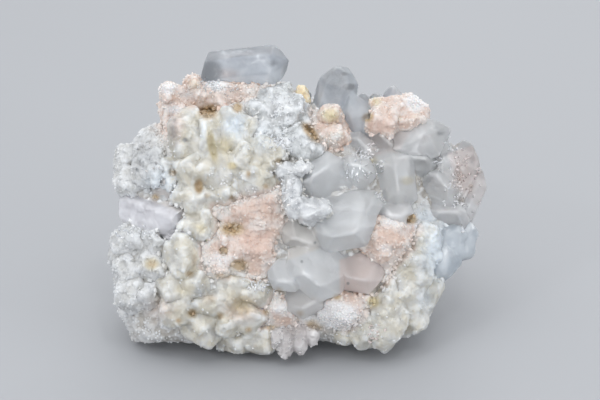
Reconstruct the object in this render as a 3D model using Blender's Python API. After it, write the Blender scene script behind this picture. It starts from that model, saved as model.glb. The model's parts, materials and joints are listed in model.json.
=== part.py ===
"""A hand specimen of quartz with calcite and rhodochrosite, about 80 mm wide.

One rough piece of vein rock carries everything else. Quartz crystals stand on it
in clusters, cream calcite fills the left and the lower right, and pink
rhodochrosite lies between them as lumpy crusts. Each mineral group that has grown
together is one closed solid, and neighbours are kept a hair apart.
"""
import itertools
import math
import random

import bmesh
import bpy
import numpy as np
from mathutils import Matrix, Vector, geometry, noise
from mathutils.bvhtree import BVHTree

for old_object in list(bpy.data.objects):
    bpy.data.objects.remove(old_object, do_unlink=True)


# Driving sizes, in millimetres unless the name says otherwise
MILLIMETRE = 0.001
GAP = 0.32
MIDDLE = Vector((0.0, 0.0, 25.0))
VIEW_DISTANCE = 480.0
NOISE_SEED = 7

# Quartz: the angle of its end faces from the prism, and how uneven a crystal is
QUARTZ_FACE_TILT = math.radians(51.8)
QUARTZ_SIDE_RANGE = (0.94, 1.04)
QUARTZ_STEEP_SET_BACK = 0.02
QUARTZ_SET_BACK_RANGE = (0.08, 0.20)
QUARTZ_BLUNT_LEAN = 0.18

# Lumps: how far their faces stay inside the ellipsoid that they fit
LUMP_REACH_RANGE = (0.86, 0.98)

# Sheets: how deep they root in the rock, how thin their edge is and how long their bumps are
SHEET_ROOT = 2.0
SHEET_EDGE = 0.55
SHEET_BUMP_GAIN = 1.4
SHEET_BUMP_PITCH = 0.35

# Rock: cells along each side of its starting cube, and sizes of its unevenness
ROCK_SEGMENTS = 9
ROCK_SHARPNESS = 20.0
ROCK_STRAY = 0.045
ROCK_STRAY_PITCH = 9.0
ROCK_SWELL = 1.9
ROCK_SWELL_PITCH = 0.085
ROCK_GRAIN = 1.5
ROCK_GRAIN_PITCH = 0.27

# Tolerances of the shape work
SAME_CORNER = 0.02
FLAT_JOIN_ANGLE = math.radians(0.6)
NOTABLE_VOLUME = 5e-9

noise.seed_set(NOISE_SEED)


# Views: the specimen is laid out as it is seen from each of its sides

class View:
    """A way of looking at the specimen, with places given as right, up and near."""

    def __init__(self, azimuth_degrees, elevation_degrees):
        turn = Matrix.Rotation(math.radians(azimuth_degrees), 3, "Z")
        tilt = math.radians(elevation_degrees)
        self.right = turn @ Vector((1.0, 0.0, 0.0))
        self.up = turn @ Vector((0.0, math.sin(tilt), math.cos(tilt)))
        self.near = turn @ Vector((0.0, -math.cos(tilt), math.sin(tilt)))
        self.eye = MIDDLE + self.near * VIEW_DISTANCE

    def seen(self, right, up, near):
        """The point that shows at right, up in this view, at a depth near."""
        shrink = 1.0 - near / VIEW_DISTANCE
        return MIDDLE + self.right * (right * shrink) + self.up * (up * shrink) + self.near * near

    def facing(self, right, up, near):
        """A direction given in this view."""
        return (self.right * right + self.up * up + self.near * near).normalized()

    def rock_depth(self, right, up, beside):
        """How near the rock is at right, up, or a depth for places beside it."""
        ray = (self.seen(right, up, 0.0) - self.eye).normalized()
        hit = ROCK_SURFACE.ray_cast(self.eye, ray)[0]
        return beside if hit is None else max(beside, (hit - MIDDLE).dot(self.near))

    def on_rock(self, right, up, rise, beside=2.0):
        """A point that shows at right, up, rise above the rock."""
        return self.seen(right, up, self.rock_depth(right, up, beside) + rise)


FRONT = View(0.0, 25.0)
BACK = View(180.0, 15.0)
RIGHT_SIDE = View(90.0, 15.0)
ABOVE = View(0.0, 80.0)
BACK_LEFT = View(225.0, 0.0)
BACK_RIGHT = View(135.0, 0.0)


# Convex forms: every crystal, block and lump is a set of flat faces

class Form:
    """A convex solid, kept as face normals and distances from an origin."""

    def __init__(self, origin, normals, distances):
        self.origin = np.array(origin)
        self.normals = np.array(normals)
        self.distances = np.array(distances)

    def corners(self, grow):
        """Corner points of the solid with every face moved out by grow."""
        reach = self.distances + grow
        triples = np.array(list(itertools.combinations(range(len(reach)), 3)))
        sides = self.normals[triples]
        firm = np.abs(np.linalg.det(sides)) > 1e-3
        points = np.linalg.solve(sides[firm], reach[triples[firm]][..., None])[..., 0]
        inside = (points @ self.normals.T <= reach + 1e-6).all(axis=1)
        return points[inside] + self.origin

    def solid(self, grow=0.0):
        """The solid as a closed bmesh."""
        shape = bmesh.new()
        for point in self.corners(grow):
            shape.verts.new(point)
        bmesh.ops.remove_doubles(shape, verts=shape.verts, dist=SAME_CORNER)
        hull = bmesh.ops.convex_hull(shape, input=shape.verts)
        spare = [item for item in hull["geom_interior"] if isinstance(item, bmesh.types.BMVert)]
        bmesh.ops.delete(shape, geom=spare, context="VERTS")
        bmesh.ops.recalc_face_normals(shape, faces=shape.faces)
        if shape.calc_volume(signed=True) < 0.0:
            bmesh.ops.reverse_faces(shape, faces=shape.faces)
        return shape


def quartz(root, tip, width, seed, lead=0.30, lead_way=None, flatness=0.86, blunt=0.0, snapped=None):
    """A six-sided prism from root to tip, with a point that one face leads."""
    dice = random.Random(seed)
    axis = (tip - root).normalized()
    length = (tip - root).length
    across = axis.orthogonal().normalized()
    across.rotate(Matrix.Rotation(dice.uniform(0.0, math.pi), 3, axis))
    outwards = []
    for side in range(6):
        outward = across.copy()
        outward.rotate(Matrix.Rotation(side * math.pi / 3.0, 3, axis))
        outwards.append(outward)
    leading = dice.randrange(6)
    if lead_way is not None:
        leading = max(range(6), key=lambda side: outwards[side].dot(lead_way))
    foot = -axis if snapped is None else (snapped - axis).normalized()
    normals = [foot]
    distances = [0.0]
    for side, outward in enumerate(outwards):
        thickness = flatness if side % 3 == leading % 3 else dice.uniform(*QUARTZ_SIDE_RANGE)
        normals.append(outward)
        distances.append(0.5 * width * thickness)
        slope = outward * math.sin(QUARTZ_FACE_TILT) + axis * math.cos(QUARTZ_FACE_TILT)
        set_back = dice.uniform(*QUARTZ_SET_BACK_RANGE)
        if side % 2 == leading % 2:
            set_back = QUARTZ_STEEP_SET_BACK
        if side == leading:
            set_back = lead
        normals.append(slope)
        distances.append(slope.dot(axis * (length - set_back * width)))
    if blunt > 0.0:
        lean = (axis + outwards[(leading + 2) % 6] * QUARTZ_BLUNT_LEAN).normalized()
        normals.append(lean)
        distances.append(lean.dot(axis * (length - blunt * width)))
    return Form(root, normals, distances)


def block(middle, size, seed, view, faces=12, lean=(0.0, 0.0, 1.0), rough=0.2):
    """A lump with flat faces that just fits an ellipsoid with three diameters."""
    dice = random.Random(seed)
    depth_axis = view.facing(*lean)
    side_axis = view.up.cross(depth_axis).normalized()
    axes = (side_axis, depth_axis.cross(side_axis), depth_axis)
    normals = []
    distances = []
    golden_turn = math.pi * (3.0 - math.sqrt(5.0))
    start = dice.uniform(0.0, math.tau)
    for number in range(faces):
        height = 1.0 - (2.0 * number + 1.0) / faces
        turn = start + number * golden_turn
        ring = math.sqrt(1.0 - height * height)
        wanted = Vector((math.cos(turn) * ring, math.sin(turn) * ring, height))
        wanted += Vector([dice.uniform(-rough, rough) for _ in range(3)])
        wanted.normalize()
        local = Vector([wanted[i] / size[i] for i in range(3)]).normalized()
        outward = sum((axes[i] * local[i] for i in range(3)), Vector())
        reach = math.sqrt(sum((0.5 * size[i] * local[i]) ** 2 for i in range(3)))
        normals.append(outward)
        distances.append(reach * dice.uniform(*LUMP_REACH_RANGE))
    return Form(middle, normals, distances)


# Sheets: a lumpy crust that follows the rock

class Sheet:
    """A crust over an outlined patch of a view, with holes where rock shows."""

    def __init__(self, view, outline, rise, seed, spacing=3.0, bumps=0.9, holes=(), beside=2.0):
        self.view = view
        self.rise = rise
        self.bumps = bumps
        self.seed = seed
        self.beside = beside
        self.outline = roughened(outline, spacing, seed)
        self.holes = [round_outline(*hole) for hole in holes]
        dice = random.Random(seed + 1)
        spots = filling(self.outline, spacing, dice)
        self.spots = [
            spot for spot in spots
            if clearance(spot, self.outline) > 0.4 * spacing
            and all(clearance(spot, hole) > 0.3 * spacing and not within(spot, hole) for hole in self.holes)
        ]

    def plan(self, grow):
        """Flat points, triangles and the number of points that lie on an edge."""
        rim = widened(self.outline, grow)
        rings = [rim] + [widened(hole, -grow) for hole in self.holes]
        points = []
        edges = []
        for ring in rings:
            start = len(points)
            count = len(ring)
            points.extend(Vector(spot) for spot in ring)
            edges.extend((start + i, start + (i + 1) % count) for i in range(count))
        border = len(points)
        points.extend(Vector(spot) for spot in self.spots)
        flat, _, triangles, _, _, _ = geometry.delaunay_2d_cdt(points, edges, [], 0, 1e-4)
        kept = []
        for triangle in triangles:
            centre = sum((flat[i] for i in triangle), Vector((0.0, 0.0))) / 3.0
            if within(centre, rim) and not any(within(centre, ring) for ring in rings[1:]):
                kept.append(triangle)
        return flat, kept, border

    def corners(self, grow):
        """Points that bound the sheet."""
        shape = self.solid(grow)
        points = np.array([vert.co for vert in shape.verts])
        shape.free()
        return points

    def solid(self, grow=0.0):
        """The sheet as a closed bmesh."""
        flat, triangles, border = self.plan(grow)
        shape = bmesh.new()
        tops = []
        floors = []
        for number, spot in enumerate(flat):
            depth = self.view.rock_depth(spot[0], spot[1], self.beside)
            place = Vector((spot[0], spot[1], self.seed)) * SHEET_BUMP_PITCH
            bump = self.bumps * SHEET_BUMP_GAIN * noise.noise(place)
            rise = SHEET_EDGE * self.rise if number < border else self.rise + bump
            tops.append(shape.verts.new(self.view.seen(spot[0], spot[1], depth + rise + grow)))
            floors.append(shape.verts.new(self.view.seen(spot[0], spot[1], depth - SHEET_ROOT - grow)))
        uses = {}
        for a, b, c in triangles:
            shape.faces.new((tops[a], tops[b], tops[c]))
            shape.faces.new((floors[c], floors[b], floors[a]))
            for pair in ((a, b), (b, c), (c, a)):
                uses[pair] = True
        for a, b in uses:
            if (b, a) not in uses:
                shape.faces.new((tops[b], tops[a], floors[a], floors[b]))
        loose = [vert for vert in shape.verts if not vert.link_faces]
        bmesh.ops.delete(shape, geom=loose, context="VERTS")
        bmesh.ops.recalc_face_normals(shape, faces=shape.faces)
        return shape


def round_outline(right, up, width, height, count=7):
    """A small uneven ring of spots around a hole."""
    return [
        (
            right + 0.5 * width * math.cos(math.tau * i / count) * (0.9 + 0.2 * (i % 2)),
            up + 0.5 * height * math.sin(math.tau * i / count),
        )
        for i in range(count)
    ]


def roughened(outline, spacing, seed):
    """An outline with its long sides broken into short uneven ones."""
    dice = random.Random(seed)
    spots = []
    for (right_a, up_a), (right_b, up_b) in zip(outline, outline[1:] + outline[:1]):
        steps = max(1, round(math.hypot(right_b - right_a, up_b - up_a) / spacing))
        for step in range(steps):
            part = step / steps
            stray = 0.0 if step == 0 else 0.22 * spacing
            spots.append((
                right_a + (right_b - right_a) * part + dice.uniform(-stray, stray),
                up_a + (up_b - up_a) * part + dice.uniform(-stray, stray),
            ))
    return spots


def widened(outline, grow):
    """An outline moved outwards by grow."""
    area = sum(a[0] * b[1] - b[0] * a[1] for a, b in zip(outline, outline[1:] + outline[:1]))
    sign = 1.0 if area > 0.0 else -1.0
    spots = []
    for before, here, after in zip(outline[-1:] + outline[:-1], outline, outline[1:] + outline[:1]):
        along = Vector((after[0] - before[0], after[1] - before[1])).normalized()
        spots.append((here[0] + sign * grow * along[1], here[1] - sign * grow * along[0]))
    return spots


def within(spot, outline):
    """Whether a spot of a view lies inside an outline."""
    inside = False
    for (right_a, up_a), (right_b, up_b) in zip(outline, outline[1:] + outline[:1]):
        if (up_a > spot[1]) != (up_b > spot[1]):
            crossing = right_a + (spot[1] - up_a) / (up_b - up_a) * (right_b - right_a)
            if spot[0] < crossing:
                inside = not inside
    return inside


def clearance(spot, outline):
    """Distance from a spot to the nearest side of an outline."""
    place = Vector(spot)
    least = math.inf
    for one, other in zip(outline, outline[1:] + outline[:1]):
        start = Vector(one)
        side = Vector(other) - start
        part = min(1.0, max(0.0, (place - start).dot(side) / side.length_squared))
        least = min(least, (place - start - side * part).length)
    return least


def filling(outline, spacing, dice):
    """Uneven spots, about one spacing apart, inside an outline."""
    lows = [min(corner[i] for corner in outline) for i in range(2)]
    highs = [max(corner[i] for corner in outline) for i in range(2)]
    stray = 0.25 * spacing
    spots = []
    row = 0
    up = lows[1]
    while up <= highs[1]:
        right = lows[0] + (0.5 * spacing if row % 2 else 0.0)
        while right <= highs[0]:
            spot = (right + dice.uniform(-stray, stray), up + dice.uniform(-stray, stray))
            if within(spot, outline):
                spots.append(spot)
            right += spacing
        up += spacing * 0.87
        row += 1
    return spots


# The vein rock: a chunk bounded by flat breaks, rounded and roughened

ROCK_BREAKS = (
    # the view, a point on the break (right, up, near) and the way it faces
    (FRONT, (-36.5, 0.0, 0.0), (-1.0, 0.05, 0.12)),
    (FRONT, (-31.0, 14.5, 2.0), (-0.81, 0.58, 0.05)),
    (FRONT, (-10.0, 24.0, 3.0), (-0.05, 1.0, 0.20)),
    (FRONT, (15.0, 20.0, 3.0), (0.22, 0.95, 0.2)),
    (FRONT, (29.0, 13.0, 2.0), (0.68, 0.73, 0.1)),
    (FRONT, (35.5, 0.0, -2.0), (1.0, 0.05, 0.15)),
    (FRONT, (32.0, -13.0, 0.0), (0.90, -0.42, 0.08)),
    (FRONT, (24.0, -25.0, 4.0), (0.60, -0.78, 0.1)),
    (FRONT, (-36.5, -22.0, 2.0), (-0.93, -0.36, 0.1)),
    (FRONT, (-26.0, -2.0, 15.5), (-0.42, 0.1, 0.9)),
    (FRONT, (-12.0, 2.0, 18.0), (-0.12, 0.12, 1.0)),
    (FRONT, (-12.0, 14.0, 14.5), (-0.1, 0.55, 0.85)),
    (FRONT, (8.0, -2.0, 15.0), (0.05, 0.05, 1.0)),
    (FRONT, (24.0, 0.0, 9.0), (0.42, 0.05, 0.9)),
    (FRONT, (16.0, 12.0, 8.5), (0.2, 0.5, 0.85)),
    (FRONT, (0.0, -18.0, 15.0), (0.0, -0.3, 0.95)),
    (FRONT, (-16.0, -28.6, 8.0), (0.0, -1.0, 0.12)),
    (FRONT, (10.0, -28.0, 8.0), (0.06, -1.0, 0.12)),
    (FRONT, (-22.0, -20.0, 15.5), (-0.25, -0.25, 0.9)),
    (ABOVE, (-8.0, 4.0, 24.3), (-0.05, 0.1, 1.0)),
    (ABOVE, (18.0, 4.0, 20.0), (0.25, 0.05, 1.0)),
    (BACK, (4.0, 0.0, 23.0), (0.05, 0.0, 1.0)),
    (BACK, (26.0, 0.0, 14.0), (0.70, 0.1, 0.70)),
    (BACK, (-24.0, 2.0, 15.0), (-0.62, 0.1, 0.78)),
    (BACK, (-2.0, 16.0, 16.0), (-0.1, 0.75, 0.65)),
    (BACK, (20.0, 13.0, 12.0), (0.4, 0.6, 0.6)),
    (BACK, (-8.0, -20.0, 19.0), (-0.2, -0.6, 0.8)),
    (RIGHT_SIDE, (2.0, -20.0, 26.0), (0.1, -0.6, 0.75)),
    (BACK_LEFT, (0.0, -20.0, 35.0), (0.1, -0.5, 0.87)),
    (BACK_RIGHT, (0.0, -16.0, 33.0), (-0.1, -0.5, 0.87)),
)


def rock_solid(grow=0.0):
    """The rock as a closed bmesh with a flat underside, moved out by grow."""
    breaks = []
    for view, place, way in ROCK_BREAKS:
        normal = view.facing(*way)
        breaks.append((normal, normal.dot(view.seen(*place) - MIDDLE)))
    shape = bmesh.new()
    bmesh.ops.create_cube(shape, size=2.0)
    bmesh.ops.subdivide_edges(shape, edges=shape.edges, cuts=ROCK_SEGMENTS - 1, use_grid_fill=True)
    for vert in shape.verts:
        way = Vector([math.tan(c * math.pi / 4.0) for c in vert.co]).normalized()
        way = (way + ROCK_STRAY * noise.noise_vector(way * ROCK_STRAY_PITCH)).normalized()
        crowding = sum(
            max(0.0, normal.dot(way) / distance) ** ROCK_SHARPNESS for normal, distance in breaks
        )
        reach = crowding ** (-1.0 / ROCK_SHARPNESS)
        place = MIDDLE + way * reach
        swell = ROCK_SWELL * noise.noise(place * ROCK_SWELL_PITCH + Vector((3.1, 7.7, 1.9)))
        grain = ROCK_GRAIN * noise.noise(place * ROCK_GRAIN_PITCH + Vector((11.3, 2.4, 5.0)))
        reach += swell + grain + grow
        floor = -grow
        if (MIDDLE + way * reach).z < floor:
            reach = (MIDDLE.z - floor) / -way.z
        vert.co = MIDDLE + way * reach
    bmesh.ops.triangulate(shape, faces=shape.faces)
    bmesh.ops.recalc_face_normals(shape, faces=shape.faces)
    return shape


rock_shape = rock_solid()
ROCK_SURFACE = BVHTree.FromBMesh(rock_shape)
rock_shape.free()


# Joining and cutting

def mesh_object(name, shape):
    """A bmesh in millimetres as an object in metres."""
    bmesh.ops.scale(shape, vec=Vector.Fill(3, MILLIMETRE), verts=shape.verts)
    mesh = bpy.data.meshes.new(name)
    shape.to_mesh(mesh)
    shape.free()
    thing = bpy.data.objects.new(name, mesh)
    bpy.context.scene.collection.objects.link(thing)
    return thing


def combine(body, tools, operation):
    """Unite or cut a body with many closed tools at once, and drop the tools."""
    if not tools:
        return
    bench = bpy.data.collections.new("bench")
    bpy.context.scene.collection.children.link(bench)
    for tool in tools:
        bpy.context.scene.collection.objects.unlink(tool)
        bench.objects.link(tool)
    joining = body.modifiers.new(operation.lower(), "BOOLEAN")
    joining.operation = operation
    joining.operand_type = "COLLECTION"
    joining.collection = bench
    joining.solver = "EXACT"
    depsgraph = bpy.context.evaluated_depsgraph_get()
    result = bpy.data.meshes.new_from_object(body.evaluated_get(depsgraph))
    body.modifiers.clear()
    spent = body.data
    body.data = result
    bpy.data.meshes.remove(spent)
    for tool in tools:
        tool_mesh = tool.data
        bpy.data.objects.remove(tool, do_unlink=True)
        bpy.data.meshes.remove(tool_mesh)
    bpy.data.collections.remove(bench)


def connected_pieces(shape):
    """Every connected piece of a bmesh, as (volume, faces), the largest first."""
    waiting = set(shape.faces)
    pieces = []
    for seed_face in shape.faces:
        if seed_face not in waiting:
            continue
        waiting.remove(seed_face)
        front = [seed_face]
        piece = []
        while front:
            face = front.pop()
            piece.append(face)
            for edge in face.edges:
                for other in edge.link_faces:
                    if other in waiting:
                        waiting.remove(other)
                        front.append(other)
        volume = 0.0
        for face in piece:
            corners = [vert.co for vert in face.verts]
            for second, third in zip(corners[1:-1], corners[2:]):
                volume += corners[0].dot(second.cross(third)) / 6.0
        pieces.append((volume, piece))
    pieces.sort(key=lambda piece: -piece[0])
    return pieces


def keep_main_piece(thing):
    """Leave only the largest connected piece, with its flat regions made whole."""
    shape = bmesh.new()
    shape.from_mesh(thing.data)
    bmesh.ops.remove_doubles(shape, verts=shape.verts, dist=1e-7)
    pieces = connected_pieces(shape)
    for volume, faces in pieces[1:]:
        if volume > NOTABLE_VOLUME:
            print("left out a loose piece at", faces[0].calc_center_median() / MILLIMETRE)
    spare = [face for _, faces in pieces[1:] for face in faces]
    bmesh.ops.delete(shape, geom=spare, context="FACES")
    bmesh.ops.dissolve_limit(shape, angle_limit=FLAT_JOIN_ANGLE, verts=shape.verts, edges=shape.edges)
    bmesh.ops.triangulate(shape, faces=shape.faces)
    shape.to_mesh(thing.data)
    shape.free()


def box_of(points):
    return points.min(axis=0), points.max(axis=0)


def boxes_meet(one, other):
    return bool((one[0] <= other[1] + 1.0).all() and (other[0] <= one[1] + 1.0).all())


# Materials of the solids

def mineral(name, colour, roughness, transmission=0.0):
    paint = bpy.data.materials.new(name)
    paint.use_nodes = True
    shader = paint.node_tree.nodes["Principled BSDF"]
    shader.inputs["Base Color"].default_value = (*colour, 1.0)
    shader.inputs["Roughness"].default_value = roughness
    shader.inputs["Transmission Weight"].default_value = transmission
    paint.diffuse_color = (*colour, 1.0)
    return paint


VEIN_ROCK = mineral("vein_rock", (0.45, 0.44, 0.42), 0.8)
MILKY_QUARTZ = mineral("milky_quartz", (0.55, 0.57, 0.60), 0.25, 0.3)
CALCITE = mineral("calcite", (0.66, 0.64, 0.60), 0.45)
RHODOCHROSITE = mineral("rhodochrosite", (0.72, 0.55, 0.48), 0.6)
HONEY = mineral("honey_calcite", (0.72, 0.52, 0.26), 0.35, 0.3)

laid = []
built = []


def lay(name, forms, paint):
    """Build one node: unite its forms and keep it clear of all earlier nodes."""
    box = box_of(np.vstack([form.corners(0.0) for form in forms]))
    first, *rest = [mesh_object(name, form.solid()) for form in forms]
    combine(first, rest, "UNION")
    cutters = [mesh_object("rock_cutter", rock_solid(GAP))]
    for earlier in laid:
        if boxes_meet(box, box_of(earlier.corners(GAP))):
            cutters.append(mesh_object("cutter", earlier.solid(GAP)))
    combine(first, cutters, "DIFFERENCE")
    keep_main_piece(first)
    first.name = name
    first.data.name = name
    first.data.materials.clear()
    first.data.materials.append(paint)
    laid.extend(forms)
    built.append(first)
    print(f"{name}: {len(forms)} forms, {len(first.data.polygons)} triangles")


def crystals(view, rows, seed, lead=0.45):
    """Quartz crystals from rows of root, tip and width, each (right, up, rise)."""
    return [
        quartz(view.on_rock(*root), view.on_rock(*tip), width, seed + number, lead, view.near)
        for number, (root, tip, width) in enumerate(rows)
    ]


def lumps(view, rows, seed, faces=12):
    """Faceted lumps from rows of (right, up, rise) and three diameters."""
    return [
        block(view.on_rock(*place), size, seed + number, view, faces)
        for number, (place, size) in enumerate(rows)
    ]


# The vein rock itself
rock = mesh_object("vein_rock", rock_solid())
rock.data.materials.append(VEIN_ROCK)
keep_main_piece(rock)
built.append(rock)
print(f"vein_rock: {len(rock.data.polygons)} triangles")


# Quartz: the long crystal that lies across the top left
lying = quartz(FRONT.seen(-19.8, 28.3, 3.0), FRONT.seen(0.4, 30.4, 6.5), 7.4, 5, 0.12, FRONT.facing(0, 1, 0),
               0.92, 0.16, FRONT.facing(0, 1, 0.4) * 0.35)
lay("lying_quartz_crystal", [lying], MILKY_QUARTZ)

# Quartz: the stout upright crystal with its partners
upright = [
    quartz(FRONT.seen(5.6, 13.0, 3.0), FRONT.seen(9.9, 31.6, 7.0), 7.8, 21, 0.12, FRONT.facing(-1, 0.1, 0.3),
           0.92, 0.36),
    quartz(FRONT.seen(14.8, 10.0, 5.0), FRONT.seen(11.8, 25.0, 8.5), 7.2, 22, 0.25,
           FRONT.facing(1, 0.3, 0.5)),
    quartz(FRONT.seen(14.4, 14.5, 3.0), FRONT.seen(13.8, 24.4, 5.5), 4.2, 23, 0.25),
    quartz(FRONT.seen(16.0, 14.5, 3.0), FRONT.seen(17.0, 24.6, 5.0), 4.4, 24, 0.35),
]
lay("upright_quartz_crystals", upright, MILKY_QUARTZ)

# Quartz: the cluster in the middle, its points towards the viewer
central_rows = [
    ((5.4, 4.0, -4.0), (5.0, 6.6, 10.5), 11.4),
    ((9.0, -2.5, -4.0), (9.4, -5.4, 12.0), 12.4),
    ((4.2, -12.5, -4.0), (3.8, -15.0, 13.0), 11.8),
    ((1.6, -4.5, -3.0), (1.0, -7.2, 9.0), 8.6),
    ((12.2, -13.0, -3.0), (12.8, -14.8, 9.5), 10.0),
    ((18.4, 5.0, -4.0), (19.8, 5.6, 10.5), 13.4),
    ((17.0, 12.0, -4.0), (18.0, 13.4, 7.5), 9.4),
    ((24.0, 8.0, -4.0), (25.0, 9.4, 8.0), 9.4),
    ((1.4, -18.5, -3.0), (1.8, -20.8, 8.0), 8.6),
    ((-2.0, -14.0, -3.0), (-2.8, -16.0, 9.0), 6.6),
    ((11.8, 6.0, -3.0), (12.6, 7.8, 8.5), 7.0),
    ((12.4, 11.5, -3.0), (13.2, 12.4, 6.5), 7.4),
    ((13.6, -0.5, -3.0), (14.2, -0.6, 9.0), 7.0),
    ((20.2, -1.0, -3.0), (20.6, -1.4, 7.5), 7.0),
]
lay("central_quartz_cluster", crystals(FRONT, central_rows, 301), MILKY_QUARTZ)

# Quartz: crystals that lean out to the right
right_forms = [
    quartz(FRONT.seen(18.0, 9.0, 8.0), FRONT.seen(33.4, 17.0, 7.5), 8.0, 41, 0.2, FRONT.near, 0.92, 0.15),
    quartz(FRONT.seen(31.6, 0.0, 1.0), FRONT.seen(36.6, 14.6, 3.5), 6.8, 42, 0.3, FRONT.near, 0.9, 0.15),
    quartz(FRONT.seen(28.6, 3.0, 4.0), FRONT.seen(32.8, 14.4, 6.5), 6.0, 43, 0.3),
    quartz(FRONT.seen(33.0, -6.0, -1.0), FRONT.seen(39.6, 8.4, 0.5), 5.6, 44, 0.3, None, 0.7, 0.14),
    quartz(FRONT.on_rock(28.0, 3.0, -5.0), FRONT.on_rock(29.6, 4.0, 9.0), 10.4, 45, 0.5, FRONT.near),
    quartz(FRONT.on_rock(31.0, -3.0, -5.0), FRONT.on_rock(32.0, -2.4, 7.0), 8.6, 46, 0.5, FRONT.near),
    quartz(FRONT.on_rock(32.0, 6.0, -5.0), FRONT.on_rock(33.4, 8.2, 6.5), 7.4, 47, 0.45, FRONT.near),
]
lay("right_quartz_cluster", right_forms, MILKY_QUARTZ)

# Quartz: the lilac white crystal that lies at the left edge, and its neighbours
left_forms = [
    quartz(FRONT.on_rock(-24.6, -4.6, 1.6), FRONT.on_rock(-38.8, 1.4, 1.4, 3.0), 7.4, 51, 0.2, FRONT.near,
           0.8, 0.1),
    quartz(FRONT.on_rock(-26.0, 1.0, -1.0), FRONT.on_rock(-29.6, 12.6, 2.4), 7.4, 52, 0.2),
    quartz(FRONT.on_rock(-27.6, 1.0, -3.0), FRONT.on_rock(-29.6, 3.4, 5.5), 8.0, 53, 0.4, FRONT.near),
]
lay("left_quartz_crystals", left_forms, MILKY_QUARTZ)

# Quartz: small crystals of their own
small_clear = quartz(FRONT.seen(1.5, 18.6, 3.0), FRONT.seen(1.9, 25.0, 5.0), 2.0, 61)
lay("small_clear_crystal", [small_clear], MILKY_QUARTZ)

grey_spike = quartz(FRONT.seen(19.4, 16.6, 1.0), FRONT.seen(20.4, 25.8, 2.5), 3.6, 62, 0.2)
lay("grey_spike_crystal", [grey_spike], MILKY_QUARTZ)

# Calcite: cream columns and blocks left of the middle
column_rows = [
    ((-18.4, 13.6, 1.0), (5.6, 11.4, 7.0)),
    ((-23.0, 13.8, 0.6), (7.4, 12.4, 7.0)),
    ((-13.6, 14.4, 0.8), (8.6, 11.6, 7.0)),
    ((-17.2, 7.0, 1.4), (8.6, 7.6, 7.0)),
    ((-22.2, 6.2, 1.0), (6.6, 8.6, 7.0)),
    ((-11.6, 8.4, 1.0), (7.0, 8.0, 7.0)),
    ((-7.4, 10.0, 0.8), (6.8, 8.6, 7.0)),
    ((-27.0, 5.6, 0.4), (6.6, 8.4, 6.0)),
    ((-22.4, 0.8, 0.8), (8.0, 7.0, 6.6)),
    ((-16.0, 2.4, 1.0), (7.6, 5.6, 6.6)),
    ((-9.6, 4.6, 0.8), (8.6, 5.6, 6.4)),
    ((-22.0, -4.4, 0.6), (8.4, 6.6, 6.4)),
]
lay("left_calcite_columns", lumps(FRONT, column_rows, 701, 10), CALCITE)

# Calcite: the snowy crest through the middle
crest_rows = [
    ((-1.4, 3.0, 3.0), (3.4, 7.0, 8.0)),
    ((-0.4, -0.4, 4.0), (4.4, 4.2, 8.0)),
    ((2.6, -1.4, 4.6), (6.4, 4.6, 9.0)),
    ((5.0, -0.8, 5.0), (3.8, 3.4, 8.0)),
    ((-2.4, 7.0, 2.0), (5.6, 3.4, 7.0)),
    ((0.8, 7.2, 2.6), (4.4, 3.2, 7.0)),
]
lay("snowy_calcite_crest", lumps(FRONT, crest_rows, 731, 9), CALCITE)

# Rhodochrosite: the patch and its knob below the upright crystal
knob_outline = [(1.8, 17.2), (4.6, 20.4), (8.8, 20.2), (10.6, 17.0), (10.6, 13.4), (8.0, 12.0), (4.0, 12.4)]
top_forms = [
    Sheet(FRONT, knob_outline, 4.4, 931, 2.7, 1.0),
    block(FRONT.on_rock(6.8, 18.8, 3.6), (4.8, 4.4, 6.0), 932, FRONT, 14),
    block(FRONT.on_rock(7.6, 14.6, 3.2), (6.0, 4.2, 6.0), 933, FRONT, 14),
]
lay("top_rhodochrosite_patch", top_forms, RHODOCHROSITE)

# Calcite: white lumps above the crest
upper_rows = [
    ((-4.6, 21.6, 0.2), (8.0, 6.6, 7.0)),
    ((-3.2, 18.2, 0.8), (9.0, 8.4, 7.6)),
    ((-8.0, 19.0, 0.4), (6.0, 6.6, 6.0)),
    ((-1.4, 13.2, 0.8), (8.6, 6.6, 7.0)),
    ((-6.6, 14.6, 0.6), (7.6, 6.6, 6.6)),
    ((2.2, 11.2, 0.8), (6.6, 5.6, 6.6)),
    ((0.0, 17.4, 0.2), (5.6, 6.6, 6.4)),
]
lay("upper_calcite_lumps", lumps(FRONT, upper_rows, 751, 10), CALCITE)

# Calcite: knobs at the left edge
knob_rows = [
    ((-34.4, 9.0, 1.8), (8.8, 8.4, 12.0)),
    ((-30.8, 13.0, 0.0), (6.4, 6.4, 9.0)),
    ((-31.0, 7.4, 0.6), (8.4, 8.0, 12.0)),
    ((-35.2, 4.6, 0.6), (6.6, 6.4, 9.0)),
]
lay("left_calcite_knobs", lumps(FRONT, knob_rows, 771, 12), CALCITE)
white_rows = [
    ((-34.2, -8.0, 0.4), (9.4, 6.6, 8.0)),
    ((-36.4, -10.4, 0.6), (6.8, 6.4, 8.0)),
    ((-29.6, -7.8, 0.6), (6.6, 6.0, 7.0)),
    ((-30.4, -12.6, 0.6), (7.6, 6.6, 7.0)),
    ((-35.4, -14.0, 0.0), (6.8, 7.0, 7.0)),
    ((-34.8, -18.4, 0.8), (7.4, 7.4, 8.0)),
    ((-31.0, -18.4, 0.0), (6.0, 7.0, 6.6)),
]
lay("left_white_calcite", lumps(FRONT, white_rows, 791, 11), CALCITE)

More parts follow.
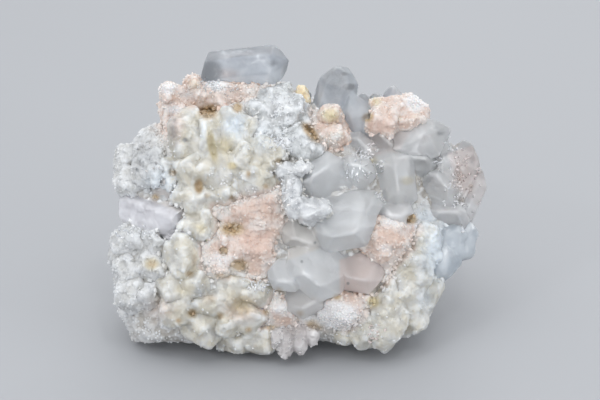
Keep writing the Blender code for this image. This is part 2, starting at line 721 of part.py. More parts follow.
# Calcite: the tall rounded lumps at the lower left
lower_rows = [
    ((-24.2, -10.6, 1.4), (7.0, 10.6, 7.4)),
    ((-26.0, -17.0, 1.2), (7.4, 7.6, 7.4)),
    ((-25.6, -21.6, 1.6), (6.6, 7.4, 7.4)),
    ((-21.6, -16.8, 1.0), (5.6, 6.0, 6.6)),
    ((-18.4, -20.6, 1.0), (8.8, 5.6, 7.0)),
    ((-20.0, -25.4, 1.4), (7.8, 8.0, 7.6)),
    ((-15.0, -24.4, 1.2), (6.6, 6.6, 6.8)),
    ((-13.6, -17.6, 0.4), (7.6, 6.6, 6.4)),
    ((-10.4, -23.0, 0.8), (7.6, 7.0, 6.8)),
    ((-13.2, -27.6, 0.8), (8.0, 6.4, 7.2)),
    ((-8.2, -28.0, 0.8), (7.4, 5.6, 6.6)),
    ((-8.6, -18.4, 0.4), (6.6, 5.8, 6.4)),
]
lay("lower_left_calcite_lumps", lumps(FRONT, lower_rows, 811, 10), CALCITE)

# Calcite: creamy columns and clear masses at the lower right
foot_rows = [
    ((18.9, -23.4, 1.0), (6.8, 14.2, 8.0)),
    ((23.8, -22.0, 0.0), (6.6, 10.4, 7.4)),
    ((14.2, -25.4, 0.4), (6.6, 9.4, 7.0)),
    ((23.6, -13.6, 0.4), (9.6, 8.6, 7.4)),
    ((22.6, -18.0, 0.6), (8.0, 7.0, 7.4)),
    ((10.2, -27.0, 0.0), (6.0, 4.6, 6.0)),
    ((27.0, -17.2, -0.4), (6.4, 10.0, 7.0)),
    ((26.6, -8.0, 0.4), (8.0, 8.0, 7.0)),
]
lay("lower_right_calcite_columns", lumps(FRONT, foot_rows, 841, 11), CALCITE)
ice_rows = [
    ((31.6, -7.6, 0.0), (9.6, 8.4, 10.0)),
    ((34.2, -5.8, -1.6), (5.8, 5.6, 8.0)),
    ((29.8, -12.0, -0.4), (7.0, 8.0, 8.4)),
]
lay("right_clear_calcite", lumps(FRONT, ice_rows, 861, 12), CALCITE)

# Rhodochrosite: the pink crust of the top left corner, with a wall down its left end
corner_outline = [
    (-28.6, 24.4), (-24.0, 25.0), (-22.0, 26.6), (-19.6, 25.8), (-9.0, 25.2), (-3.0, 24.8), (-2.0, 22.8),
    (-8.0, 22.2), (-9.4, 18.2), (-15.0, 19.6), (-20.0, 17.6), (-25.0, 19.2), (-25.4, 13.4), (-27.8, 13.0),
    (-28.2, 18.0),
]
corner_holes = [(-19.4, 19.9, 3.0, 1.8), (-12.6, 20.8, 2.2, 1.8)]
corner_forms = [
    Sheet(FRONT, corner_outline, 2.8, 901, 4.2, 1.1, corner_holes, 5.5),
    block(FRONT.seen(-27.0, 23.6, 5.5), (4.2, 3.8, 6.0), 903, FRONT),
    block(FRONT.seen(-21.8, 25.2, 5.0), (4.4, 4.4, 6.0), 904, FRONT),
    block(FRONT.seen(-19.4, 20.0, 0.0), (18.0, 9.6, 14.0), 905, FRONT, 10),
    block(FRONT.seen(-24.6, 16.4, 4.0), (7.6, 9.0, 10.0), 906, FRONT, 10),
    block(FRONT.seen(-8.0, 22.0, 0.0), (13.0, 5.6, 12.0), 907, FRONT, 10),
]
lay("top_left_rhodochrosite_crust", corner_forms, RHODOCHROSITE)

# Rhodochrosite: the peach coloured ball at the upper right
ball_rows = [
    ((20.2, 18.6, 3.0), (9.6, 8.6, 10.0)),
    ((23.4, 18.5, 2.6), (8.0, 8.6, 10.0)),
    ((17.4, 17.4, 3.4), (7.4, 7.4, 8.0)),
    ((22.6, 16.8, 3.4), (9.4, 5.6, 9.0)),
]
lay("upper_right_rhodochrosite", lumps(FRONT, ball_rows, 921, 13), RHODOCHROSITE)

# Rhodochrosite: the patches between the crystals
mass_outline = [
    (-18.8, 0.8), (-15.0, 2.2), (-8.0, 3.2), (-4.0, 4.8), (-2.4, 3.0), (-2.4, -4.8), (-5.2, -7.0),
    (-5.6, -10.4), (-3.8, -13.2), (-7.0, -15.2), (-10.2, -15.6), (-11.0, -12.4), (-14.4, -12.0),
    (-15.2, -14.4), (-17.4, -14.2), (-20.0, -12.2), (-20.6, -9.0), (-17.4, -6.2), (-16.0, -3.4),
    (-19.0, -1.2),
]
mass_holes = [(-14.0, -5.0, 4.0, 2.4), (-15.8, -9.8, 1.5, 1.4)]
mass = Sheet(FRONT, mass_outline, 3.4, 941, 3.2, 1.2, mass_holes)
lay("left_rhodochrosite_mass", [mass], RHODOCHROSITE)

band_outline = [
    (14.4, -5.0), (18.0, -2.0), (24.0, -1.2), (24.8, -3.2), (23.4, -9.0), (21.0, -11.0), (19.4, -13.2),
    (18.0, -16.2), (16.0, -13.0), (12.4, -8.4),
]
band = Sheet(FRONT, band_outline, 5.4, 951, 2.9, 1.2)
lay("right_rhodochrosite_band", [band], RHODOCHROSITE)

foot_outline = [
    (4.8, -19.6), (8.4, -17.8), (15.2, -19.4), (13.4, -23.4), (10.4, -26.0), (6.6, -25.6), (4.0, -23.8),
]
foot_patch = Sheet(FRONT, foot_outline, 4.8, 961, 2.7, 1.2)
lay("lower_rhodochrosite_patch", [foot_patch], RHODOCHROSITE)

side_outline = [
    (-8.0, -21.4), (-5.0, -19.0), (-2.2, -19.0), (-0.8, -22.0), (0.0, -26.4), (-4.0, -26.2), (-7.8, -25.0),
]
side_patch = Sheet(FRONT, side_outline, 4.4, 971, 2.6, 1.2)
lay("lower_left_rhodochrosite_patch", [side_patch], RHODOCHROSITE)

# Quartz: small crystals that point down at the bottom edge
spikes = [
    quartz(FRONT.seen(-2.2, -25.0, 12.5), FRONT.seen(-2.7, -33.5, 13.6), 2.8, 63, 0.2),
    quartz(FRONT.seen(0.0, -25.0, 12.5), FRONT.seen(0.4, -32.9, 13.6), 3.4, 64, 0.2),
    quartz(FRONT.seen(2.4, -25.0, 12.5), FRONT.seen(3.2, -30.8, 13.0), 3.8, 65, 0.2),
    quartz(FRONT.seen(-4.6, -25.6, 12.5), FRONT.seen(-5.4, -31.4, 13.4), 3.8, 66, 0.2),
]
lay("bottom_quartz_crystals", spikes, MILKY_QUARTZ)

# A honey coloured calcite grain
honey = block(FRONT.seen(0.8, 22.8, 7.0), (3.2, 4.8, 4.0), 981, FRONT, 12)
lay("honey_calcite_grain", [honey], HONEY)

# The back: the same minerals, in larger and plainer groups
back_rows = [
    ((-2.0, 2.0, -4.0), (-1.0, 5.0, 10.5), 12.4),
    ((-9.0, 3.0, -4.0), (-10.8, 6.0, 9.0), 10.4),
    ((6.0, -1.0, -4.0), (7.2, -1.0, 9.5), 11.4),
    ((-3.0, -5.0, -4.0), (-3.8, -7.6, 9.0), 10.6),
    ((4.0, 8.0, -4.0), (5.0, 10.6, 8.0), 9.6),
    ((-11.0, -3.0, -4.0), (-13.0, -4.0, 7.5), 9.4),
    ((12.0, 4.0, -4.0), (13.6, 5.4, 7.0), 8.4),
]
lay("back_quartz_cluster", crystals(BACK, back_rows, 1001), MILKY_QUARTZ)

back_pink_outline = [
    (-31.0, 8.0), (-22.0, 16.0), (-13.0, 17.0), (-8.0, 11.0), (-16.0, 8.0), (-17.0, -2.0), (-20.0, -12.0),
    (-27.0, -12.0),
]
back_pink = Sheet(BACK, back_pink_outline, 2.8, 1041, 4.6, 1.6)
lay("back_rhodochrosite_crust", [back_pink], RHODOCHROSITE)

back_calcite_rows = [
    ((15.0, -8.0, 0.0), (14.0, 12.0, 7.0)),
    ((23.0, -3.0, 0.0), (13.0, 13.0, 7.0)),
    ((19.0, 6.0, -0.4), (12.0, 11.0, 6.6)),
    ((24.0, -12.0, -0.4), (12.0, 11.0, 6.6)),
    ((8.0, -15.0, -0.4), (12.0, 10.0, 6.6)),
]
lay("back_calcite_blocks", lumps(BACK, back_calcite_rows, 1021, 12), CALCITE)


# Stand the specimen on the middle of its underside
low = np.full(3, np.inf)
high = np.full(3, -np.inf)
for thing in built:
    points = np.array([vert.co for vert in thing.data.vertices])
    low = np.minimum(low, points.min(axis=0))
    high = np.maximum(high, points.max(axis=0))
shift = Matrix.Translation((-(low[0] + high[0]) / 2, -(low[1] + high[1]) / 2, -low[2]))
for thing in built:
    thing.data.transform(shift)
print("size in mm", np.round((high - low) * 1000, 2), "shift in mm", np.round(shift.translation * 1000, 2))
print("triangles", sum(len(thing.data.polygons) for thing in built), "nodes", len(built))
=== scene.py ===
# %% [markdown]
# # A hand specimen of quartz with calcite and rhodochrosite
#
# The real object is a piece of vein rock, about 80 mm wide. Milky quartz crystals
# stand on it, cream and white calcite fills the space between them, and pale pink
# rhodochrosite lies over parts of it as a sugary crust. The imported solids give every
# mineral group its place and its large flat faces. This file gives each group the
# skin that such a mineral has: rounded edges, frosting, pits, grain and colour.

import json
import math

import bmesh
import bpy
import numpy as np
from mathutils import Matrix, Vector


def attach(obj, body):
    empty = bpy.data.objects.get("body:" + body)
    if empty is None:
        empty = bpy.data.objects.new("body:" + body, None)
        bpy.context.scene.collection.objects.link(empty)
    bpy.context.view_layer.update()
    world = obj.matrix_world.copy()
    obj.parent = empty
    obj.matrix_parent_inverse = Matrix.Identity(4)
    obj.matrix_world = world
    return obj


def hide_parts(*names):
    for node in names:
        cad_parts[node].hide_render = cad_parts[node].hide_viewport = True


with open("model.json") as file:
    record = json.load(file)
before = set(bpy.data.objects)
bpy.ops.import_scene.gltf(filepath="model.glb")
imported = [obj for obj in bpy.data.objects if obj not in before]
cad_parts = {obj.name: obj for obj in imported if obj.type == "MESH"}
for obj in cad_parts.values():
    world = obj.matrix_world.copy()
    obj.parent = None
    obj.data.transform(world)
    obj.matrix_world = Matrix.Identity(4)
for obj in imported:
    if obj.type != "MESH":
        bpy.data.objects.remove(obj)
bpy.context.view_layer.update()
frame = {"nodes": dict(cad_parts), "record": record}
MM = 0.001


# %% [markdown]
# ## Places on the specimen
#
# Everything that shows in only one spot, such as a brown hole or a dark inclusion,
# is placed as it is seen from the front: so many millimetres right of the middle and
# so many up, with the eye 25 degrees above the table. One function turns such a spot
# into coordinates for every point of a mesh at once.

# %% How the front is seen
MIDDLE = Vector((-0.15, -0.36, 25.0)) * MM
EYE_DISTANCE = 480.0 * MM
EYE_ELEVATION = math.radians(25.0)
SEEN_UP = Vector((0.0, math.sin(EYE_ELEVATION), math.cos(EYE_ELEVATION)))
SEEN_NEAR = Vector((0.0, -math.cos(EYE_ELEVATION), math.sin(EYE_ELEVATION)))


def seen_from_front(points):
    """Right, up and near in millimetres for an array of points."""
    local = points - np.array(MIDDLE)
    near = local @ np.array(SEEN_NEAR)
    spread = EYE_DISTANCE / (EYE_DISTANCE - near)
    right = local[:, 0] * spread
    up = (local @ np.array(SEEN_UP)) * spread
    return right / MM, up / MM, near / MM


# %% [markdown]
# ## Camera and light
#
# The photo is taken with a long lens from a little above, so the camera stands half
# a metre away with a 136 mm lens. Large soft lamps above and in front keep the
# shadows faint, as on the photo, and one from behind makes the crystals glow at
# their edges. A few small lamps are there for the glints on flat faces: a large one
# would spread them out until they are gone.

# %% Camera
SENSOR = 36.0
FIELD_WIDTH = 127.2 * MM
FRAME_WIDTH = 600.0
SHIFT_RIGHT, SHIFT_UP = 2.0, 5.0

camera = bpy.data.objects.new("camera", bpy.data.cameras.new("camera"))
camera.data.sensor_width = SENSOR
camera.data.lens = SENSOR * EYE_DISTANCE / FIELD_WIDTH
camera.data.shift_x = SHIFT_RIGHT / FRAME_WIDTH
camera.data.shift_y = SHIFT_UP / FRAME_WIDTH
camera.location = MIDDLE + SEEN_NEAR * EYE_DISTANCE
camera.rotation_euler = (-SEEN_NEAR).to_track_quat("-Z", "Y").to_euler()
bpy.context.scene.collection.objects.link(camera)
bpy.context.scene.camera = camera
print("lens", round(camera.data.lens), "mm")

# %% Light
LAMPS = {
    # name: place and width in metres, power in watts
    "lamp_above": ((-0.16, -0.06, 0.60), 0.45, 0.72),
    "lamp_front": ((-0.26, -0.58, 0.22), 0.50, 0.42),
    "lamp_right": ((0.52, -0.30, 0.20), 0.30, 0.25),
    "lamp_behind": ((0.10, 0.50, 0.35), 0.30, 0.40),
    "glint_left": ((-0.35, -0.35, 0.42), 0.05, 0.22),
    "glint_above": ((0.08, -0.28, 0.55), 0.04, 0.20),
    "glint_right": ((0.42, -0.40, 0.20), 0.05, 0.16),
}
SKY_COLOUR = (0.93, 0.95, 0.975, 1.0)
SKY_STRENGTH = 1.0

for name, (place, width, power) in LAMPS.items():
    lamp = bpy.data.lights.new(name, "AREA")
    lamp.size = width
    lamp.energy = power
    holder = bpy.data.objects.new(name, lamp)
    holder.location = Vector(place)
    holder.rotation_euler = (MIDDLE - holder.location).to_track_quat("-Z", "Y").to_euler()
    bpy.context.scene.collection.objects.link(holder)

sky = bpy.data.worlds.new("studio")
sky.use_nodes = True
sky.node_tree.nodes["Background"].inputs["Color"].default_value = SKY_COLOUR
sky.node_tree.nodes["Background"].inputs["Strength"].default_value = SKY_STRENGTH
bpy.context.scene.world = sky
bpy.context.scene.view_settings.view_transform = "Standard"
bpy.context.scene.view_settings.look = "None"
print("lamps", len(LAMPS))

# %% [markdown]
# ## Writing node trees as sums
#
# Finishes and growth rules are node trees. A socket is wrapped in a small class, so
# that `1.0 - frost * 0.4` adds the Math nodes that work it out.

# %% Wires


def sign(operation, other_first=False):
    """What a sign such as + does to a wire: it puts down one Math node."""
    return lambda wire, other: wire.joined(operation, other, other_first)


class Wire:
    """A socket that can be used in sums."""

    def __init__(self, board, socket):
        self.board = board
        self.socket = socket

    @property
    def is_vector(self):
        return self.socket.type in ("VECTOR", "RGBA")

    def joined(self, operation, other, other_first=False):
        """The node that combines this wire with another wire, a number or a vector."""
        pair = (other, self) if other_first else (self, other)
        vectors = [isinstance(item, tuple) or getattr(item, "is_vector", False) for item in pair]
        kind = "ShaderNodeVectorMath" if any(vectors) else "ShaderNodeMath"
        return self.board.add(kind, {"operation": operation}, {0: pair[0], 1: pair[1]})

    __add__, __radd__ = sign("ADD"), sign("ADD", True)
    __sub__, __rsub__ = sign("SUBTRACT"), sign("SUBTRACT", True)
    __mul__, __rmul__ = sign("MULTIPLY"), sign("MULTIPLY", True)
    __truediv__, __rtruediv__ = sign("DIVIDE"), sign("DIVIDE", True)

    def between(self, low, high):
        """0 below low, 1 above high and a smooth step from one to the other."""
        values = {"Value": self, "From Min": low, "From Max": high}
        return self.board.add("ShaderNodeMapRange", {"interpolation_type": "SMOOTHSTEP"}, values)


# %% Boards
HALF = (0.5, 0.5, 0.5)


class Board:
    """A node tree that nodes are put on."""

    def __init__(self, tree):
        self.tree = tree
        self.inputs = {}

    def add(self, kind, settings=None, values=None, output=0):
        """Put down a node: its settings first, then its values or links."""
        node = self.tree.nodes.new(kind)
        for name, value in (settings or {}).items():
            setattr(node, name, value)
        for name, value in (values or {}).items():
            self.plug(node.inputs[name], value)
        return Wire(self, node.outputs[output])

    def plug(self, socket, value):
        """Link a wire to a socket, or set its number."""
        if isinstance(value, Wire):
            self.tree.links.new(value.socket, socket)
        elif hasattr(socket.default_value, "__len__") and not hasattr(value, "__len__"):
            socket.default_value = (value,) * len(socket.default_value)
        else:
            socket.default_value = value

    def noise(self, place, size, detail=3.0, roughness=0.55, output=0):
        """Cloudy noise whose patches are about size metres wide."""
        values = {"Vector": place, "Scale": 1.0 / size, "Detail": detail, "Roughness": roughness}
        return self.add("ShaderNodeTexNoise", None, values, output)

    def cell_edges(self, place, size):
        """How far it is to the border between cells that are about size metres wide."""
        values = {"Vector": place, "Scale": 1.0 / size}
        return self.add("ShaderNodeTexVoronoi", {"feature": "DISTANCE_TO_EDGE"}, values)

    def facets(self, place, size):
        """Cells about size metres wide, each a flat face with its own slope; gives metres."""
        values = {"Vector": place, "Scale": 1.0 / size}
        cell = self.add("ShaderNodeTexVoronoi", {"feature": "F1"}, values, 2)
        slope = Wire(self, cell.socket.node.outputs["Color"]) - HALF
        return self.dot(place - cell, slope)

    def dot(self, one, other):
        """How far one vector reaches along another."""
        return self.add("ShaderNodeVectorMath", {"operation": "DOT_PRODUCT"}, {0: one, 1: other}, 1)

    def blurred(self, value, steps, kind="FLOAT"):
        """A number or a place, evened out between neighbouring points."""
        return self.add("GeometryNodeBlurAttribute", {"data_type": kind}, {"Value": value, "Iterations": steps})

    def stored(self, geometry, name, value):
        """Keep a number on the points of a mesh."""
        settings = {"data_type": "FLOAT", "domain": "POINT"}
        values = {"Geometry": geometry, "Name": name, "Value": value}
        return self.add("GeometryNodeStoreNamedAttribute", settings, values)

    def mixed(self, factor, one, other):
        """One colour where the factor is 0 and the other where it is 1."""
        return self.add("ShaderNodeMix", {"data_type": "RGBA"}, {0: factor, 6: one, 7: other}, 2)

    def blend_shaders(self, factor, one, other):
        """Make a mix of two shaders the surface of this material."""
        pair = {0: factor, 1: Wire(self, one.outputs[0]), 2: Wire(self, other.outputs[0])}
        blend = self.add("ShaderNodeMixShader", None, pair)
        surface = next(node for node in self.tree.nodes if node.type == "OUTPUT_MATERIAL").inputs["Surface"]
        self.tree.links.new(blend.socket, surface)


# %% [markdown]
# ## Growth: how a mineral's surface gets its relief
#
# A natural surface repeats the same few shapes over and over: lumps of one size,
# grain of another, and pits. That is a rule, so it is a Geometry Nodes tree. It
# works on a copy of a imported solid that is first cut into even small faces, and
# moves every point along its normal by lumps, by cleavage blocks and by grain. It
# also stores how far each point lies on a crest or in a hollow, for the colours.

# %% The start and the end of every growth rule


def start_tree(name, kinds):
    """An empty tree with its inputs; a modifier sets them by the identifiers in board.inputs."""
    board = Board(bpy.data.node_groups.new(name, "GeometryNodeTree"))
    sockets = board.tree.interface
    for label, kind in kinds.items():
        board.inputs[label] = sockets.new_socket(
            label, in_out="INPUT", socket_type="NodeSocket" + kind).identifier
    sockets.new_socket("Geometry", in_out="OUTPUT", socket_type="NodeSocketGeometry")
    given = board.tree.nodes.new("NodeGroupInput")
    return board, {label: Wire(board, given.outputs[label]) for label in kinds}


def end_tree(board, geometry, material):
    """Make copies real and give them their finish, and let the result out."""
    real = board.add("GeometryNodeRealizeInstances", None, {"Geometry": geometry})
    painted = board.add("GeometryNodeSetMaterial", None, {"Geometry": real, "Material": material})
    end = board.tree.nodes.new("NodeGroupOutput")
    board.tree.links.new(painted.socket, end.inputs["Geometry"])
    print("tree", board.tree.name, "with", len(board.tree.nodes), "nodes")


# %% The growth tree: rounded, then moved by lumps, blocks and grain
LUMP_MIDDLE = 0.45
LUMP_WARP = 1.1

growth, given = start_tree("mineral_growth", {
    "Geometry": "Geometry", "Rounding": "Int", "Swell": "Float", "Lump Size": "Float", "Lump Height": "Float",
    "Block Size": "Float", "Block Slope": "Float", "Grain Size": "Float", "Grain Slope": "Float",
    "Seed": "Float", "Crest Steps": "Int", "Material": "Material"})
place = growth.add("GeometryNodeInputPosition")
normal = growth.add("GeometryNodeInputNormal")
rounded = growth.add("GeometryNodeSetPosition", None, {
    "Geometry": given["Geometry"], "Position": growth.blurred(place, given["Rounding"], "FLOAT_VECTOR")})
pit = growth.add("GeometryNodeInputNamedAttribute", {"data_type": "FLOAT"}, {"Name": "pit"})
somewhere = place + growth.add("ShaderNodeCombineXYZ", None, {0: given["Seed"], 1: given["Seed"]})
lump_scale = 1.0 / given["Lump Size"]
warp = growth.add("ShaderNodeTexNoise", None, {
    "Vector": somewhere, "Scale": lump_scale * 0.7, "Detail": 2.0}, 1)
warped = somewhere + (warp - HALF) * given["Lump Size"] * LUMP_WARP
lump_cell = growth.add("ShaderNodeTexVoronoi", {"feature": "SMOOTH_F1"}, {
    "Vector": warped, "Scale": lump_scale, "Smoothness": 0.5})
lumps = (LUMP_MIDDLE - lump_cell) * 2.0 * given["Lump Height"]
blocks = growth.facets(somewhere, given["Block Size"]) * given["Block Slope"]
grain = growth.facets(somewhere, given["Grain Size"]) * given["Grain Slope"]
raised = given["Swell"] + lumps + blocks + grain - pit
moved = growth.add("GeometryNodeSetPosition", None, {
    "Geometry": rounded,
    "Offset": growth.add("ShaderNodeVectorMath", {"operation": "SCALE"}, {0: normal, "Scale": raised})})


# %% The growth tree: how far each point stands out
CREST_SPAN = 0.25 * MM

around = growth.blurred(place, given["Crest Steps"], "FLOAT_VECTOR")
standing_out = growth.dot(place - around, normal)
crested = growth.stored(moved, "crest", standing_out / CREST_SPAN)
smooth = growth.add("GeometryNodeSetShadeSmooth", None, {"Geometry": crested})
end_tree(growth, smooth, given["Material"])

# %% [markdown]
# ## Looking around: how deep a spot lies between its neighbours
#
# The finishes make the open crests paler and the clefts warmer and darker. A second
# tree measures where these lie. From every point it sends a few rays out into the open.
# Where they soon meet another surface, the point lies deep. The tree also stores what
# is buried under a crystal, which the stones then paint near white as painted light,
# and how near the next calcite and rhodochrosite are. Painting all this by hand on
# every skin would take days, and would be lost with any change of shape.

# %% The tree that looks around
LOOK_REACH = 4.0 * MM
LOOK_START = 0.35 * MM
LOOK_RAYS = 7
STRAY = (0.9, 0.9, 0.9)
COVER_REACH = 40.0 * MM
BORDER = 2.2 * MM
CALM_STEPS = 4
CROWDS = {
    # what is looked for: the material slots that it is made of
    "all": None, "clear": ("milky_quartz", "calcite"), "calcite": ("calcite",),
    "rhodochrosite": ("rhodochrosite",),
}

looking, given = start_tree("look_around", {
    "Geometry": "Geometry", **{name: "Object" for name in CROWDS}, "Material": "Material"})
crowd = {
    name: looking.add("GeometryNodeObjectInfo", None, {"Object": given[name]}, "Geometry") for name in CROWDS
}
place = looking.add("GeometryNodeInputPosition")
normal = looking.add("GeometryNodeInputNormal")


def ray_hit(target, direction, length):
    """A ray from just above the surface: whether it hits, how far away, and the hit's own normal."""
    caster = looking.add("GeometryNodeRaycast", None, {
        "Target Geometry": target, "Source Position": place + normal * LOOK_START,
        "Ray Direction": direction, "Ray Length": length}).socket.node
    return [Wire(looking, caster.outputs[name]) for name in ("Is Hit", "Hit Distance", "Hit Normal")]


depth = 0.0
for ray in range(LOOK_RAYS):
    stray = looking.add("FunctionNodeRandomValue", {"data_type": "FLOAT_VECTOR"}, {
        "Min": tuple(-reach for reach in STRAY), "Max": STRAY, "Seed": ray})
    met, distance, _ = ray_hit(crowd["all"], normal + stray, LOOK_REACH)
    depth = depth + met * (1.0 - distance / LOOK_REACH) / LOOK_RAYS

covered, _, cover_normal = ray_hit(crowd["clear"], normal, COVER_REACH)
same_way = looking.dot(cover_normal, normal)
buried = covered * looking.add("ShaderNodeMath", {"operation": "GREATER_THAN"}, {0: same_way, 1: 0.0})

measured = {"deep": depth, "under": buried}
for name in ("calcite", "rhodochrosite"):
    gap = looking.add("GeometryNodeProximity", None, {
        "Geometry": crowd[name], "Sample Position": place}, "Distance")
    measured["by_" + name] = 1.0 - gap / BORDER
told = given["Geometry"]
for name, value in measured.items():
    told = looking.stored(told, name, looking.blurred(value, CALM_STEPS))
end_tree(looking, told, given["Material"])
